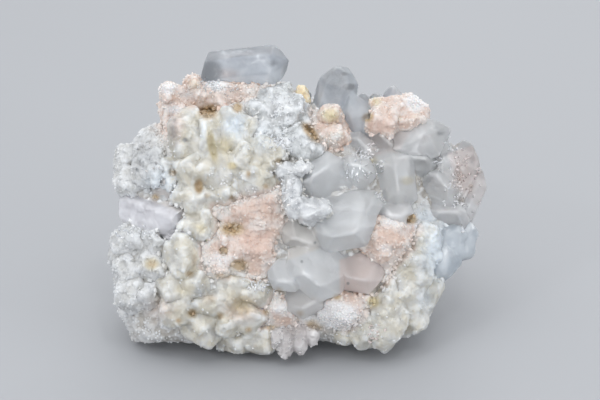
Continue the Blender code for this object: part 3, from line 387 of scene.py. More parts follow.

# %% [markdown]
# ## Local colours
#
# Each row is one spot: right, up, width, height in millimetres, strength and a turn
# in degrees. They are soft patches, and the finishes break up their edges. The
# numbers go onto the points of the skins, so a finish can read them by name.

# %% Patches of stain, honey, blush, frost and ice, and of painted shade and dark inclusions
PATCHES = {
    "stain": (
        (-19.0, 19.6, 3.4, 2.6, 1.0, 10), (-12.8, 20.6, 1.9, 1.9, 0.9, 0), (-22.6, 21.4, 3.0, 1.6, 0.3, 0),
        (-21.0, 4.0, 1.5, 2.6, 1.0, 0), (-19.3, 2.0, 1.6, 1.3, 0.5, 0), (-14.0, 1.5, 1.4, 1.2, 0.6, 0),
        (-26.5, 7.0, 1.6, 1.3, 0.6, 0), (-30.2, 1.7, 1.6, 1.4, 0.8, 0), (-4.2, 9.3, 1.5, 1.2, 0.6, 0),
        (-10.5, 6.6, 1.3, 1.8, 0.6, 0), (-6.8, 4.0, 1.6, 1.2, 0.6, 0), (-14.0, -5.1, 4.4, 2.4, 1.0, 0),
        # The long band at 16 left and 15 down is painted shadow under the overhanging lip.
        (-15.8, -9.8, 1.6, 1.6, 1.0, 0), (-12.5, -12.8, 3.4, 2.2, 0.9, 0), (-16.0, -15.0, 8.0, 1.6, 0.45, 0),
        (2.6, 15.4, 1.8, 4.6, 0.9, 40), (14.8, 18.6, 2.2, 1.6, 1.0, 20), (21.5, 18.3, 1.4, 1.8, 0.35, 0),
        (24.8, 18.8, 1.6, 1.4, 0.35, 0), (34.8, 1.0, 1.6, 1.4, 0.5, 0), (36.5, 4.0, 1.3, 1.4, 0.4, 0),
        (33.3, 12.8, 2.4, 1.5, 0.5, 0), (24.0, -3.0, 2.2, 1.8, 0.9, 0), (8.3, -19.5, 1.6, 1.3, 0.8, 0),
        (3.8, -25.3, 3.4, 2.0, 1.0, 0), (0.5, -23.0, 2.0, 1.5, 0.6, 0), (-5.7, -26.0, 2.8, 1.2, 0.6, 0),
        (-6.8, -22.8, 1.6, 1.3, 0.6, 0), (-4.0, -18.0, 1.6, 1.3, 0.6, 0), (-22.0, -11.5, 1.4, 5.0, 0.4, 0),
        (-23.0, -14.6, 1.8, 1.3, 0.6, 0), (-22.5, -23.0, 1.8, 1.7, 0.7, 0), (-25.3, -24.5, 1.4, 1.3, 0.6, 0),
        (-18.8, -19.8, 3.4, 2.2, 0.5, 0), (-16.5, -23.5, 1.6, 1.5, 0.6, 0), (-31.0, -12.5, 2.4, 2.0, 0.5, 0),
        (-10.5, -26.5, 1.7, 1.3, 0.6, 0),
    ),
    "honey": (
        (-18.2, 12.6, 1.6, 6.0, 1.0, 12), (-15.6, 12.6, 4.6, 4.6, 0.55, 0), (-20.5, -5.0, 3.4, 2.8, 0.5, 0),
        (16.0, -20.5, 2.4, 2.4, 0.8, 0), (23.2, 5.2, 2.8, 1.8, 0.8, 0), (16.2, 9.5, 1.8, 1.5, 0.6, 0),
        (6.8, 19.0, 3.6, 3.0, 0.7, 0), (16.5, 22.0, 2.6, 2.4, 0.5, 0), (-13.9, 8.3, 1.8, 1.4, 0.9, 0),
        (-31.0, -12.5, 3.6, 3.0, 0.6, 0), (20.0, -24.0, 3.0, 8.0, 0.3, 0), (-16.0, 5.0, 6.0, 3.0, 0.3, 0),
        (-24.0, 10.0, 5.0, 5.0, 0.2, 0), (-9.0, 9.0, 6.0, 4.0, 0.25, 0), (-12.0, -21.0, 7.0, 5.0, 0.5, 0),
        (-24.0, -18.0, 6.0, 5.0, 0.3, 0), (-19.0, -24.0, 5.0, 4.0, 0.3, 0), (-22.0, 25.5, 3.0, 3.0, 0.35, 0),
        (8.0, 14.6, 4.0, 2.4, 0.4, 0),
    ),
    "blush": (
        (-15.0, 27.8, 5.6, 2.6, 0.5, 0), (17.6, 16.6, 5.0, 5.0, 0.6, 0), (13.0, -14.5, 7.0, 8.0, 0.35, 0),
        (34.6, 5.5, 5.0, 8.0, 0.55, 0), (-9.0, 1.0, 9.0, 6.0, 0.4, 0), (-26.0, 17.0, 4.0, 8.0, 0.5, 0),
        (20.0, -7.0, 8.0, 6.0, 0.3, 0), (-29.0, -22.0, 8.0, 6.0, 0.35, 0), (-12.0, -22.0, 8.0, 6.0, 0.5, 0),
        (0.0, -26.0, 9.0, 4.0, 0.4, 0), (-15.0, 24.4, 4.0, 1.6, 0.5, 0), (-22.6, 21.5, 3.4, 2.4, 0.6, 0),
        (-9.0, -8.0, 7.0, 5.0, 0.8, 0), (-14.0, 23.0, 10.0, 3.0, 0.3, 0), (12.0, -22.5, 5.0, 3.0, 0.4, 0),
    ),
    "frost": (
        (-17.2, 25.3, 4.6, 1.9, 1.0, -8), (-27.6, 24.6, 3.4, 2.2, 0.9, 0), (-26.4, 20.3, 3.4, 1.6, 0.7, 0),
        (24.8, 21.8, 4.4, 3.4, 0.9, 0), (-4.6, 20.6, 8.0, 7.0, 0.5, 0), (-3.4, 13.3, 3.0, 2.0, 1.0, 0),
        (12.0, 7.3, 2.6, 2.2, 0.9, 0), (14.5, 11.0, 2.8, 1.8, 0.9, 0), (2.6, -1.6, 8.0, 5.0, 0.6, 0),
        (-1.6, 3.0, 3.4, 8.0, 0.6, 0), (0.0, 7.4, 8.0, 3.0, 0.6, 0), (33.0, 7.0, 2.0, 8.0, 0.4, 0),
        # The row at 8 right and 23.4 down, at strength 1.3, is partly white frost and partly painted light on a
        # face that looks down.
        (20.0, -3.4, 4.0, 3.0, 0.6, 0), (-8.0, -17.5, 3.0, 1.6, 0.6, 0), (8.0, -23.4, 8.0, 4.6, 1.3, 0),
        (-16.0, 5.0, 6.0, 4.0, 0.5, 0), (-10.0, 3.0, 3.0, 3.0, 0.4, 0), (-3.6, -22.0, 4.0, 3.0, 0.6, 0),
        (-10.0, -8.6, 5.0, 2.6, 0.15, 0), (-16.5, -11.5, 5.4, 3.4, 0.5, 0), (8.0, 14.5, 3.0, 2.0, 0.6, 0),
        (18.0, -9.0, 3.0, 2.4, 0.4, 0), (-6.0, -12.0, 3.0, 2.0, 0.4, 0), (16.0, -26.7, 3.0, 2.0, 0.5, 0),
    ),
    "ice": (
        (31.0, -9.0, 8.0, 14.0, 0.8, -20), (27.0, -3.0, 8.0, 6.0, 0.5, 0), (27.0, -20.0, 6.0, 8.0, 0.4, 0),
        (-34.0, -2.0, 6.0, 8.0, 0.4, 0), (-8.0, 14.0, 6.0, 8.0, 0.4, 0), (16.5, -26.0, 6.0, 8.0, 0.3, 0),
        (-29.0, 5.0, 8.0, 8.0, 0.5, 0), (-20.0, 16.0, 3.4, 5.0, 0.4, 0), (-13.5, 17.0, 5.0, 6.0, 0.7, 0),
    ),
    # Most of these rows are dark inclusions and grey spots. The rows on the far-left knobs, the grey side wall
    # at the upper left, the line along the cleft on the right, the crust at top left, the lower left, the right
    # columns, the upright crystal and the dark end of the lying crystal are painted shade.
    "shade": (
        (-18.6, 28.4, 4.4, 4.0, 1.0, 0), (-5.0, 30.0, 2.8, 1.6, 0.5, 0), (10.7, 25.1, 2.6, 1.3, 1.0, 0),
        (9.8, 27.8, 1.8, 0.9, 0.8, 0), (-24.0, 13.8, 0.9, 0.9, 1.0, 0), (-34.0, 7.4, 0.9, 0.9, 0.6, 0),
        (1.0, -4.1, 0.6, 0.6, 0.8, 0), (0.8, -12.0, 0.6, 0.6, 0.8, 0), (10.6, -16.6, 0.6, 0.6, 0.8, 0),
        (3.6, -8.0, 0.6, 0.6, 0.7, 0), (-3.6, -8.9, 2.4, 2.0, 0.5, 0), (30.0, 15.2, 1.8, 1.4, 0.5, 0),
        (-26.6, 17.0, 3.0, 8.0, 0.45, 0), (30.5, 10.4, 5.0, 0.9, 0.5, 25), (37.0, 9.6, 1.6, 4.0, 0.4, 0),
        (-31.0, 14.6, 3.0, 2.0, 0.3, 0), (-32.5, 10.5, 8.0, 6.0, 0.55, 0), (8.0, 26.0, 6.0, 8.0, 0.5, 0),
        (-20.0, -18.5, 6.0, 5.0, 0.4, 0), (26.0, -12.0, 5.0, 7.0, 0.35, 0), (-23.0, 23.5, 5.0, 3.6, 0.42, 0),
        (-17.0, 29.0, 4.0, 4.0, 0.3, 0),
    ),
}
print("patches", {name: len(rows) for name, rows in PATCHES.items()})

# %% From rows to numbers on a mesh
FRONT_HALF = -3.0
PATCH_FALL = 0.7


def patch_strength(rows, right, up):
    """The strongest patch at each point."""
    strength = np.zeros(len(right))
    for patch_right, patch_up, width, height, power, turn in rows:
        lean = math.radians(turn)
        along = (right - patch_right) * math.cos(lean) + (up - patch_up) * math.sin(lean)
        across = (up - patch_up) * math.cos(lean) - (right - patch_right) * math.sin(lean)
        distance = (along / (0.5 * width)) ** 2 + (across / (0.5 * height)) ** 2
        strength = np.maximum(strength, power * np.exp(-PATCH_FALL * distance))
    return strength


def points_of(mesh):
    points = np.empty(len(mesh.vertices) * 3)
    mesh.vertices.foreach_get("co", points)
    return points.reshape(-1, 3)


def store(mesh, name, values):
    """Keep one number for each point of a mesh."""
    spot = mesh.attributes.get(name) or mesh.attributes.new(name, "FLOAT", "POINT")
    spot.data.foreach_set("value", np.asarray(values, dtype=np.float32))


def store_patches(mesh):
    right, up, near = seen_from_front(points_of(mesh))
    for name, rows in PATCHES.items():
        store(mesh, name, np.where(near > FRONT_HALF, patch_strength(rows, right, up), 0.0))


# %% [markdown]
# ## Pits
#
# A few holes are deep enough to catch the shadow. They are pressed into the surface
# before it gets its relief. The ends of the lilac crystal are pressed down in the
# same way, because on the real specimen they sink in between the lumps around it.

# %% Pits
PITS = (
    # right, up, width, height, depth in millimetres and turn in degrees
    (-19.0, 19.6, 3.0, 2.0, 1.2, 10), (-12.8, 20.6, 1.8, 1.6, 1.0, 0), (-21.0, 4.0, 1.3, 2.4, 1.1, 0),
    (-30.2, 1.7, 1.4, 1.2, 0.8, 0), (-26.5, 7.0, 1.4, 1.2, 0.7, 0), (-15.8, -9.8, 1.4, 1.4, 0.9, 0),
    (-12.5, -12.8, 3.0, 1.8, 1.0, 0), (14.8, 18.6, 1.8, 1.4, 0.8, 20), (24.0, -3.0, 1.8, 1.5, 0.9, 0),
    (34.8, 1.0, 1.4, 1.2, 0.7, 0), (3.8, -25.3, 3.0, 1.8, 1.0, 0), (2.6, 15.4, 1.2, 4.0, 0.6, 40),
    (-22.5, -23.0, 1.6, 1.5, 0.9, 0), (-4.2, 9.3, 1.4, 1.1, 0.7, 0), (-10.5, 6.6, 1.2, 1.6, 0.6, 0),
    (-18.2, 12.6, 1.0, 6.0, 0.7, 12), (-14.0, 1.5, 1.2, 1.0, 0.6, 0), (-16.5, -23.5, 1.4, 1.3, 0.6, 0),
    (-2.4, 6.8, 1.6, 1.3, 0.8, 20), (1.6, 6.2, 1.8, 1.4, 0.9, 0), (-1.0, 2.2, 1.2, 1.8, 0.7, 0),
    (2.4, -1.0, 2.4, 1.4, 0.8, 20),
)
SUNK_ENDS = (
    (-26.8, -6.8, 4.0, 3.6, 2.2, 0), (-24.6, -1.6, 3.4, 5.0, 1.1, 0), (-30.0, 2.0, 9.0, 2.6, 1.0, -15),
)


def press_pits(mesh, pits):
    right, up, near = seen_from_front(points_of(mesh))
    deepest = np.zeros(len(right))
    for spot_right, spot_up, width, height, depth, turn in pits:
        row = (spot_right, spot_up, width, height, depth * MM, turn)
        deepest = np.maximum(deepest, patch_strength([row], right, up))
    store(mesh, "pit", np.where(near > FRONT_HALF, deepest, 0.0))


print("pits", len(PITS))

# %% [markdown]
# ## The blunt tip, the raised rock and the flat underside
#
# The crystal that lies across the top ends more bluntly than its solid, and the rock
# comes up between the minerals of the front, so that no deep gap is left. Nothing
# reaches below the table. The tip and the underside move the points of a skin directly,
# and the rock is marked for the growth tree to raise: these are rules of one line each,
# and a tree would only hide them.

# %% Blunt tip, raised rock, flat underside
TIP_START, TIP_SHARE = -4.0, 0.62
ROCK_RISE, RISE_START, RISE_SPAN = 1.3, 3.0, 5.0


def blunt_tip(mesh):
    """The lying crystal ends bluntly: its last few millimetres are pressed together."""
    points = points_of(mesh)
    right, _, _ = seen_from_front(points)
    points[:, 0] -= np.clip(right - TIP_START, 0.0, None) * (1.0 - TIP_SHARE) * MM
    mesh.vertices.foreach_set("co", points.ravel())


def raise_rock(mesh):
    """Bring the rock up between the minerals of the front, so that no deep gap is left."""
    _, _, near = seen_from_front(points_of(mesh))
    store(mesh, "pit", -ROCK_RISE * MM * np.clip((near - RISE_START) / RISE_SPAN, 0.0, 1.0))


def stand_on_table(mesh):
    """The underside is ground flat: nothing reaches below it."""
    points = points_of(mesh)
    points[:, 2] = np.maximum(points[:, 2], 0.0)
    mesh.vertices.foreach_set("co", points.ravel())
    mesh.update()


# %% [markdown]
# ## Tints of single crystals
#
# The middle crystals differ: one is whiter, one beige, one rosy. Crystals that sit in
# shade are also made paler and milkier, as painted light. A point belongs to the crystal
# whose tip it lies nearest to, as seen from the front.

# %% Crystal tints
CRYSTALS = (
    # right, up, radius in millimetres, warm, rosy, pale; pale is also painted light on crystals in shade
    (5.0, 6.6, 5.7, 0.0, 0.0, 0.25), (9.4, -5.4, 6.2, 0.0, 0.0, 0.15), (3.8, -15.0, 5.9, 0.0, 0.0, 0.4),
    (1.0, -7.2, 4.3, 0.9, 0.0, 0.6), (12.8, -14.8, 5.0, 0.3, 0.9, 0.5), (19.8, 5.6, 6.7, 0.2, 0.0, 0.0),
    (18.0, 13.4, 4.7, 0.2, 0.4, 0.4), (25.0, 9.4, 4.7, 0.1, 0.0, 0.6), (1.8, -20.8, 4.3, 0.4, 0.1, 0.0),
    (-2.8, -16.0, 3.3, 0.0, 0.0, 0.3), (12.6, 7.8, 3.5, 0.0, 0.0, 0.6), (13.2, 12.4, 3.7, 0.0, 0.1, 0.4),
    (14.2, -0.6, 3.5, 0.1, 0.0, 0.5), (20.6, -1.4, 3.5, 0.0, 0.1, 0.6), (36.6, 7.0, 4.0, 0.2, 0.6, 0.3),
    (33.4, 17.0, 4.0, 0.0, 0.0, 0.2), (39.6, 5.0, 2.8, 0.2, 0.3, 0.0), (29.6, 4.0, 5.2, 0.1, 0.0, 0.45),
    (32.0, -2.4, 4.3, 0.0, 0.1, 0.3), (9.0, 24.0, 5.0, 0.1, 0.0, 0.1), (13.8, 20.0, 4.0, 0.1, 0.1, 0.3),
)
TINT_BLEND = 12.0  # square millimetres over which one tint runs into the next
BACK_TINT = 0.3


def store_crystal_tints(mesh):
    right, up, near = seen_from_front(points_of(mesh))
    table = np.array(CRYSTALS)
    apart = (right[:, None] - table[:, 0]) ** 2 + (up[:, None] - table[:, 1]) ** 2 - table[:, 2] ** 2
    nearest = np.argsort(apart, axis=1)[:, :2]
    first, second = (np.take_along_axis(apart, nearest[:, [k]], 1)[:, 0] for k in (0, 1))
    share = np.clip(0.5 + (second - first) / TINT_BLEND, 0.5, 1.0)
    front = near > FRONT_HALF
    for column, name in ((3, "warm"), (4, "rosy"), (5, "pale")):
        values = share * table[nearest[:, 0], column] + (1.0 - share) * table[nearest[:, 1], column]
        store(mesh, name, np.where(front, values, BACK_TINT))


print("tinted crystals", len(CRYSTALS))

# %% [markdown]
# ## Finishes
#
# The minerals share one way of being stained and frosted. What differs is the body
# colour, how far light goes into it and how it shines. Calcite and rhodochrosite
# scatter the light just below the surface. Quartz does both: clear windows let it
# through, and milky veils scatter it, so its finish mixes two shaders.

# %% Colours


def rgb(red, green, blue):
    """A colour as a paint chart gives it, 0 to 255, made linear."""
    linear = [((c / 255.0 + 0.055) / 1.055) ** 2.4 for c in (red, green, blue)]
    return (*linear, 1.0)


# The grey tint paints both dark inclusions and painted shade.
TINTS = {
    "blush": rgb(216, 189, 176), "honey": rgb(216, 203, 164), "stain": rgb(190, 166, 130),
    "ice": rgb(216, 226, 235), "shade": rgb(134, 138, 143), "frost": rgb(240, 241, 243),
}
# Near white: for cracks and clear spots, and as painted light on quartz rims and on stone under a clear
# crystal.
WHITE_AND_PAINTED_LIGHT = rgb(252, 252, 252)

# %% Shared steps of a finish
RAGGED_SIZE = 0.9 * MM


def new_finish(name):
    """An empty material, its board and its Principled shader."""
    paint = bpy.data.materials.new(name)
    paint.use_nodes = True
    return paint, Board(paint.node_tree), paint.node_tree.nodes["Principled BSDF"]


def marked(board, name):
    """A number that is stored on the points of a mesh."""
    return board.add("ShaderNodeAttribute", {"attribute_name": name}, None, 2)


def tinted(board, place, body, strengths):
    """The body colour under the local patches, their edges broken up by noise."""
    ragged = 0.45 + board.noise(place, RAGGED_SIZE, 4.0, 0.7) * 1.1
    for name, strength in strengths.items():
        patch = (marked(board, name) * ragged).between(0.10, 0.70) * strength
        body = board.mixed(patch, body, TINTS[name])
    return body


def veined(board, cloud, light, dark, hollow, hollow_power, crest, crest_power):
    """A body colour: cloudy, warmer in hollows and paler on crests."""
    body = board.mixed(cloud.between(0.38, 0.62), dark, light)
    deep = (marked(board, "deep") * 1.4 + (cloud - 0.5) * 0.6).between(0.20, 0.90)
    body = board.mixed(deep * hollow_power, body, hollow)
    return board.mixed(marked(board, "crest").between(0.15, 1.1) * crest_power, body, crest)


def relief(board, place, size, slope, height):
    """Fine grain for light to catch on: small flat faces and soft noise, in metres."""
    fine = board.noise(place, size * MM, 4.0, 0.7)
    lift = board.facets(place, size * MM) * slope + fine * (height * MM)
    bump = board.add("ShaderNodeBump", None, {"Height": lift, "Distance": 1.0, "Strength": 1.0})
    return bump, fine


def set_numbers(shader, numbers):
    for name, value in numbers.items():
        shader.inputs[name].default_value = value


# %% [markdown]
# ### Calcite, rhodochrosite and rock
#
# Sugary calcite looks soft because light goes about a millimetre into it and comes
# out again beside where it went in. White paint alone would look like plaster. So
# these stones scatter light below the surface, under a thin clear coat, and calcite
# also has spots that are clear all the way through. Their colour follows what was
# measured: warmer in hollows, paler on crests, and mingled beside a neighbour.

# %% How a stone is dressed
STONE_IOR = 1.6
GRAIN_LIFT = 0.05
CLEAR_SPOT_SIZE = 2.2 * MM
TINT_POWERS = {"ice": 0.8, "blush": 0.8, "honey": 0.85, "stain": 0.9, "shade": 0.6, "frost": 0.8}


def dressed_stone(name, light, dark, hollow, hollow_power, crest, crest_power, cloud_size, roughness, depth,
                  radius, grain_size, grain_slope, neighbour=None, border=None, under=WHITE_AND_PAINTED_LIGHT, coat=0.25,
                  clear_part=0.0):
    """A stone that scatters light below its surface, with clear spots where clear_part is above 0."""
    paint, board, shader = new_finish(name)
    place = board.add("ShaderNodeTexCoord", None, None, 3)
    cloud = board.noise(place, cloud_size * MM, 4.0, 0.6)
    body = veined(board, cloud, light, dark, hollow, hollow_power, crest, crest_power)
    if neighbour:
        mingled = (marked(board, neighbour) + (cloud - 0.5) * 1.6).between(0.25, 0.85)
        body = board.mixed(mingled * 0.75, body, border)
    colour = tinted(board, place, body, TINT_POWERS)
    # Painted light: where a stone lies under a clear crystal, its colour is painted near white.
    colour = board.mixed(marked(board, "under").between(0.3, 0.7), colour, under)
    board.plug(shader.inputs["Base Color"], colour)
    bump, fine = relief(board, place, grain_size, grain_slope, GRAIN_LIFT)
    board.plug(shader.inputs["Normal"], bump)
    board.plug(shader.inputs["Roughness"], roughness + (fine - 0.5) * 0.3)
    set_numbers(shader, {
        "IOR": STONE_IOR, "Subsurface Weight": 0.6, "Subsurface Radius": radius,
        "Subsurface Scale": depth * MM, "Coat Weight": coat, "Coat Roughness": 0.12,
    })
    if clear_part > 0.0:
        clear = board.add("ShaderNodeBsdfPrincipled").socket.node
        board.plug(clear.inputs["Base Color"], board.mixed(0.6, colour, WHITE_AND_PAINTED_LIGHT))
        board.plug(clear.inputs["Normal"], bump)
        board.plug(clear.inputs["Roughness"], roughness + (fine - 0.5) * 0.2)
        set_numbers(clear, {"IOR": STONE_IOR, "Transmission Weight": 1.0})
        spots = board.noise(place, CLEAR_SPOT_SIZE, 3.0, 0.6) + marked(board, "honey") * 0.2
        board.blend_shaders(spots.between(0.42, 0.62) * clear_part, shader, clear)
    return paint


# %% The stones: sizes and depths are in millimetres
STONES = {
    "cream_calcite": dict(
        light=rgb(219, 218, 213), dark=rgb(211, 206, 192), hollow=rgb(198, 184, 156), hollow_power=0.60,
        crest=rgb(231, 233, 233), crest_power=0.75, cloud_size=3.6, roughness=0.38, depth=1.6,
        radius=(1.0, 0.93, 0.82), grain_size=0.55, grain_slope=0.15, neighbour="by_rhodochrosite",
        border=rgb(222, 205, 194), coat=0.3, clear_part=0.30,
    ),
    "white_calcite": dict(
        light=rgb(219, 220, 221), dark=rgb(209, 209, 207), hollow=rgb(196, 188, 172), hollow_power=0.55,
        crest=rgb(230, 232, 234), crest_power=0.7, cloud_size=3.0, roughness=0.30, depth=1.4,
        radius=(1.0, 0.97, 0.93), grain_size=0.45, grain_slope=0.45, neighbour="by_rhodochrosite",
        border=rgb(224, 208, 198), coat=0.35, clear_part=0.12,
    ),
    "frosted_calcite": dict(
        light=rgb(211, 214, 216), dark=rgb(199, 202, 203), hollow=rgb(200, 196, 186), hollow_power=0.4,
        crest=rgb(226, 229, 232), crest_power=0.6, cloud_size=2.6, roughness=0.34, depth=1.4,
        radius=(1.0, 0.98, 0.95), grain_size=0.45, grain_slope=0.25, neighbour="by_rhodochrosite",
        border=rgb(226, 210, 200), coat=0.5, clear_part=0.4,
    ),
    "snowy_calcite": dict(
        light=rgb(214, 216, 218), dark=rgb(204, 207, 210), hollow=rgb(198, 196, 192), hollow_power=0.4,
        crest=rgb(228, 230, 232), crest_power=0.6, cloud_size=2.0, roughness=0.36, depth=1.4,
        radius=(1.0, 1.0, 1.0), grain_size=0.4, grain_slope=0.35, coat=0.5, clear_part=0.25,
    ),
    "rhodochrosite": dict(
        light=rgb(223, 212, 206), dark=rgb(214, 191, 178), hollow=rgb(204, 172, 150), hollow_power=0.45,
        crest=rgb(234, 227, 223), crest_power=0.7, cloud_size=3.0, roughness=0.40, depth=1.2,
        radius=(1.0, 0.82, 0.72), grain_size=0.4, grain_slope=0.5, neighbour="by_calcite",
        # The under colour is painted light where the crust lies under a clear crystal.
        border=rgb(228, 224, 220), under=rgb(250, 240, 236),
    ),
    "vein_rock": dict(
        light=rgb(216, 216, 216), dark=rgb(190, 185, 178), hollow=rgb(180, 166, 146), hollow_power=0.5,
        crest=rgb(230, 231, 232), crest_power=0.6, cloud_size=5.0, roughness=0.42, depth=1.0,
        radius=(1.0, 0.95, 0.9), grain_size=0.6, grain_slope=0.5,
    ),
    "honey_calcite": dict(
        light=rgb(234, 222, 196), dark=rgb(230, 210, 172), hollow=rgb(208, 174, 130), hollow_power=0.5,
        crest=rgb(240, 232, 214), crest_power=0.5, cloud_size=1.4, roughness=0.28, depth=1.2,
        radius=(1.0, 0.85, 0.6), grain_size=0.5, grain_slope=0.4,
    ),
    # Sown grains are smaller than the way that light goes in the stone below them
    "white_sugar": dict(
        light=rgb(224, 226, 228), dark=rgb(216, 216, 213), hollow=rgb(206, 200, 188), hollow_power=0.4,
        crest=rgb(238, 240, 242), crest_power=0.5, cloud_size=3.0, roughness=0.36, depth=0.12,
        radius=(1.0, 1.0, 1.0), grain_size=0.3, grain_slope=0.1, neighbour="by_rhodochrosite",
        border=rgb(234, 222, 214), coat=0.15,
    ),
    "pink_sugar": dict(
        light=rgb(240, 229, 222), dark=rgb(230, 208, 195), hollow=rgb(206, 172, 148), hollow_power=0.5,
        crest=rgb(244, 239, 236), crest_power=0.6, cloud_size=3.0, roughness=0.38, depth=0.12,
        radius=(1.0, 0.9, 0.8), grain_size=0.3, grain_slope=0.1, neighbour="by_calcite",
        border=rgb(238, 234, 231), coat=0.15,
    ),
}
FINISHES = {name: dressed_stone(name, **numbers) for name, numbers in STONES.items()}
print("stone finishes", sorted(FINISHES))

# %% [markdown]
# ### Quartz
#
# Vein quartz is as clear as glass in one place and milky in the next, with healed
# cracks. Its rims are painted paler and milkier, as painted light for the glow at its
# edges. One shader can't be both clear and milky, so a clear and a milky one are mixed.
# The mask between them is cloud noise for the veils, cell borders for the cracks and
# the stored crests for the painted rims.

# %% How quartz is dressed
QUARTZ_IOR = 1.54
WARM, ROSY = rgb(240, 233, 224), rgb(246, 226, 220)
VEIL_SIZE, CRACK_SIZE = 4.5 * MM, 5.5 * MM
SWAY_SIZE, SWAY_REACH = 5.0 * MM, 6.0 * MM
RIPPLE_SIZE, RIPPLE_HEIGHT = 0.9 * MM, 0.012 * MM
QUARTZ_TINT_POWERS = {"blush": 0.5, "honey": 0.5, "stain": 0.6, "shade": 0.8}


def dressed_quartz(name, light, dark, milk_low, milk_high, roughness):
    """Clear quartz with milky veils: more milk where the cloud noise is high."""
    paint, board, clear = new_finish(name)
    place = board.add("ShaderNodeTexCoord", None, None, 3)
    cloud = board.noise(place, VEIL_SIZE, 5.0, 0.6)
    body = board.mixed(cloud.between(0.38, 0.62), dark, light)
    body = board.mixed(marked(board, "warm") * 0.6, body, WARM)
    body = board.mixed(marked(board, "rosy") * 0.7, body, ROSY)
    colour = tinted(board, place, body, QUARTZ_TINT_POWERS)
    # Painted light: the rims are painted paler and milkier, for the glow at the crystal edges.
    painted_rim_glow = marked(board, "crest").between(0.15, 1.0)
    swayed = place + (board.noise(place, SWAY_SIZE, 2.0, 0.5, 1) - HALF) * SWAY_REACH
    crack = (1.0 - board.cell_edges(swayed, CRACK_SIZE).between(0.0, 0.07)) * cloud.between(0.45, 0.65)
    colour = board.mixed(painted_rim_glow * 0.3 + crack * 0.25, colour, WHITE_AND_PAINTED_LIGHT)
    fine = board.noise(place, RIPPLE_SIZE, 3.0, 0.6)
    bump = board.add("ShaderNodeBump", None, {
        "Height": fine * RIPPLE_HEIGHT, "Distance": 1.0, "Strength": 1.0})
    milky = board.add("ShaderNodeBsdfPrincipled").socket.node
    for shader in (clear, milky):
        board.plug(shader.inputs["Base Color"], colour)
        board.plug(shader.inputs["Roughness"], roughness + (fine - 0.5) * 0.10)
        board.plug(shader.inputs["Normal"], bump)
        set_numbers(shader, {"IOR": QUARTZ_IOR})
    clear.inputs["Transmission Weight"].default_value = 1.0
    # Painted light: crystals that sit in shade have a higher pale value, so more milk.
    veils = (cloud + marked(board, "pale") * 0.25).between(0.30, 0.80)
    milk = (milk_low + veils * (milk_high - milk_low) + marked(board, "frost") * 0.4 + painted_rim_glow * 0.10
            + crack * 0.22)
    board.blend_shaders(milk, clear, milky)
    return paint


# %% The kinds of quartz
QUARTZES = {
    "milky_quartz": dict(
        light=rgb(240, 242, 244), dark=rgb(234, 236, 238), milk_low=0.22, milk_high=0.42, roughness=0.36,
    ),
    "ice_quartz": dict(
        light=rgb(216, 222, 229), dark=rgb(196, 203, 212), milk_low=0.16, milk_high=0.40, roughness=0.36,
    ),
    "lilac_quartz": dict(
        light=rgb(238, 238, 243), dark=rgb(228, 227, 232), milk_low=0.5, milk_high=0.8, roughness=0.38,
    ),
    "ice_calcite": dict(
        light=rgb(218, 228, 236), dark=rgb(204, 216, 226), milk_low=0.40, milk_high=0.65, roughness=0.36,
    ),
    "rough_quartz": dict(
        light=rgb(240, 239, 242), dark=rgb(224, 221, 224), milk_low=0.45, milk_high=0.75, roughness=0.38,
    ),
    "druse_quartz": dict(
        light=rgb(244, 246, 248), dark=rgb(236, 239, 243), milk_low=0.45, milk_high=0.65, roughness=0.14,
    ),
}
FINISHES.update({name: dressed_quartz(name, **numbers) for name, numbers in QUARTZES.items()})
print("quartz finishes", sorted(QUARTZES))

# %% [markdown]
# ## Growing a skin on every solid
#
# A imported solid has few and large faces, so fine relief has nothing to move. The
# Remesh modifier cuts a copy of it into even faces of about a quarter millimetre:
# small enough for a grain, and large enough that no piece gets too heavy. Each could
# then be sculpted by hand, but a rule gives all of one mineral the same nature, and
# one row of numbers here is a whole mineral.

# %% How each mineral grows
GROWTH_NUMBERS = ("Rounding", "Swell", "Lump Size", "Lump Height", "Block Size", "Block Slope",
                  "Grain Size", "Grain Slope", "Crest Steps")
IN_MILLIMETRES = ("Swell", "Lump Size", "Lump Height", "Block Size", "Grain Size")
GROWTH_OF = {
    # finish: face size in millimetres, then the growth numbers in their order
    "milky_quartz": (0.24, 2, 0.26, 4.0, 0.08, 2.4, 0.05, 1.2, 0.03, 10),
    "ice_quartz": (0.22, 4, 0.22, 4.0, 0.10, 2.4, 0.04, 1.2, 0.02, 10),
    "lilac_quartz": (0.26, 6, 0.30, 3.0, 0.15, 2.0, 0.10, 0.9, 0.05, 12),
    "cream_calcite": (0.26, 9, 0.55, 3.4, 0.30, 2.3, 0.20, 0.9, 0.10, 14),
    "white_calcite": (0.26, 4, 0.50, 3.4, 0.35, 1.7, 0.46, 0.75, 0.30, 14),
    "snowy_calcite": (0.22, 4, 0.30, 2.2, 0.34, 1.2, 0.30, 0.6, 0.18, 12),
    "ice_calcite": (0.26, 16, 0.80, 4.4, 0.20, 2.6, 0.10, 0.9, 0.04, 12),
    "rough_quartz": (0.24, 3, 0.15, 2.4, 0.25, 1.4, 0.40, 0.7, 0.30, 10),
    "frosted_calcite": (0.25, 5, 0.45, 2.8, 0.30, 1.8, 0.32, 0.8, 0.14, 14),
    "rhodochrosite": (0.24, 4, 0.45, 3.0, 0.28, 1.3, 0.38, 0.6, 0.36, 12),
    "vein_rock": (0.50, 1, 0.25, 3.5, 0.5, 2.0, 0.6, 1.0, 0.4, 10),
    "honey_calcite": (0.20, 2, 0.15, 2.0, 0.2, 1.0, 0.3, 0.6, 0.1, 10),
}
SLOT_OF = {row["node"]: row["material_slot"] for row in frame["record"]["subparts"]}
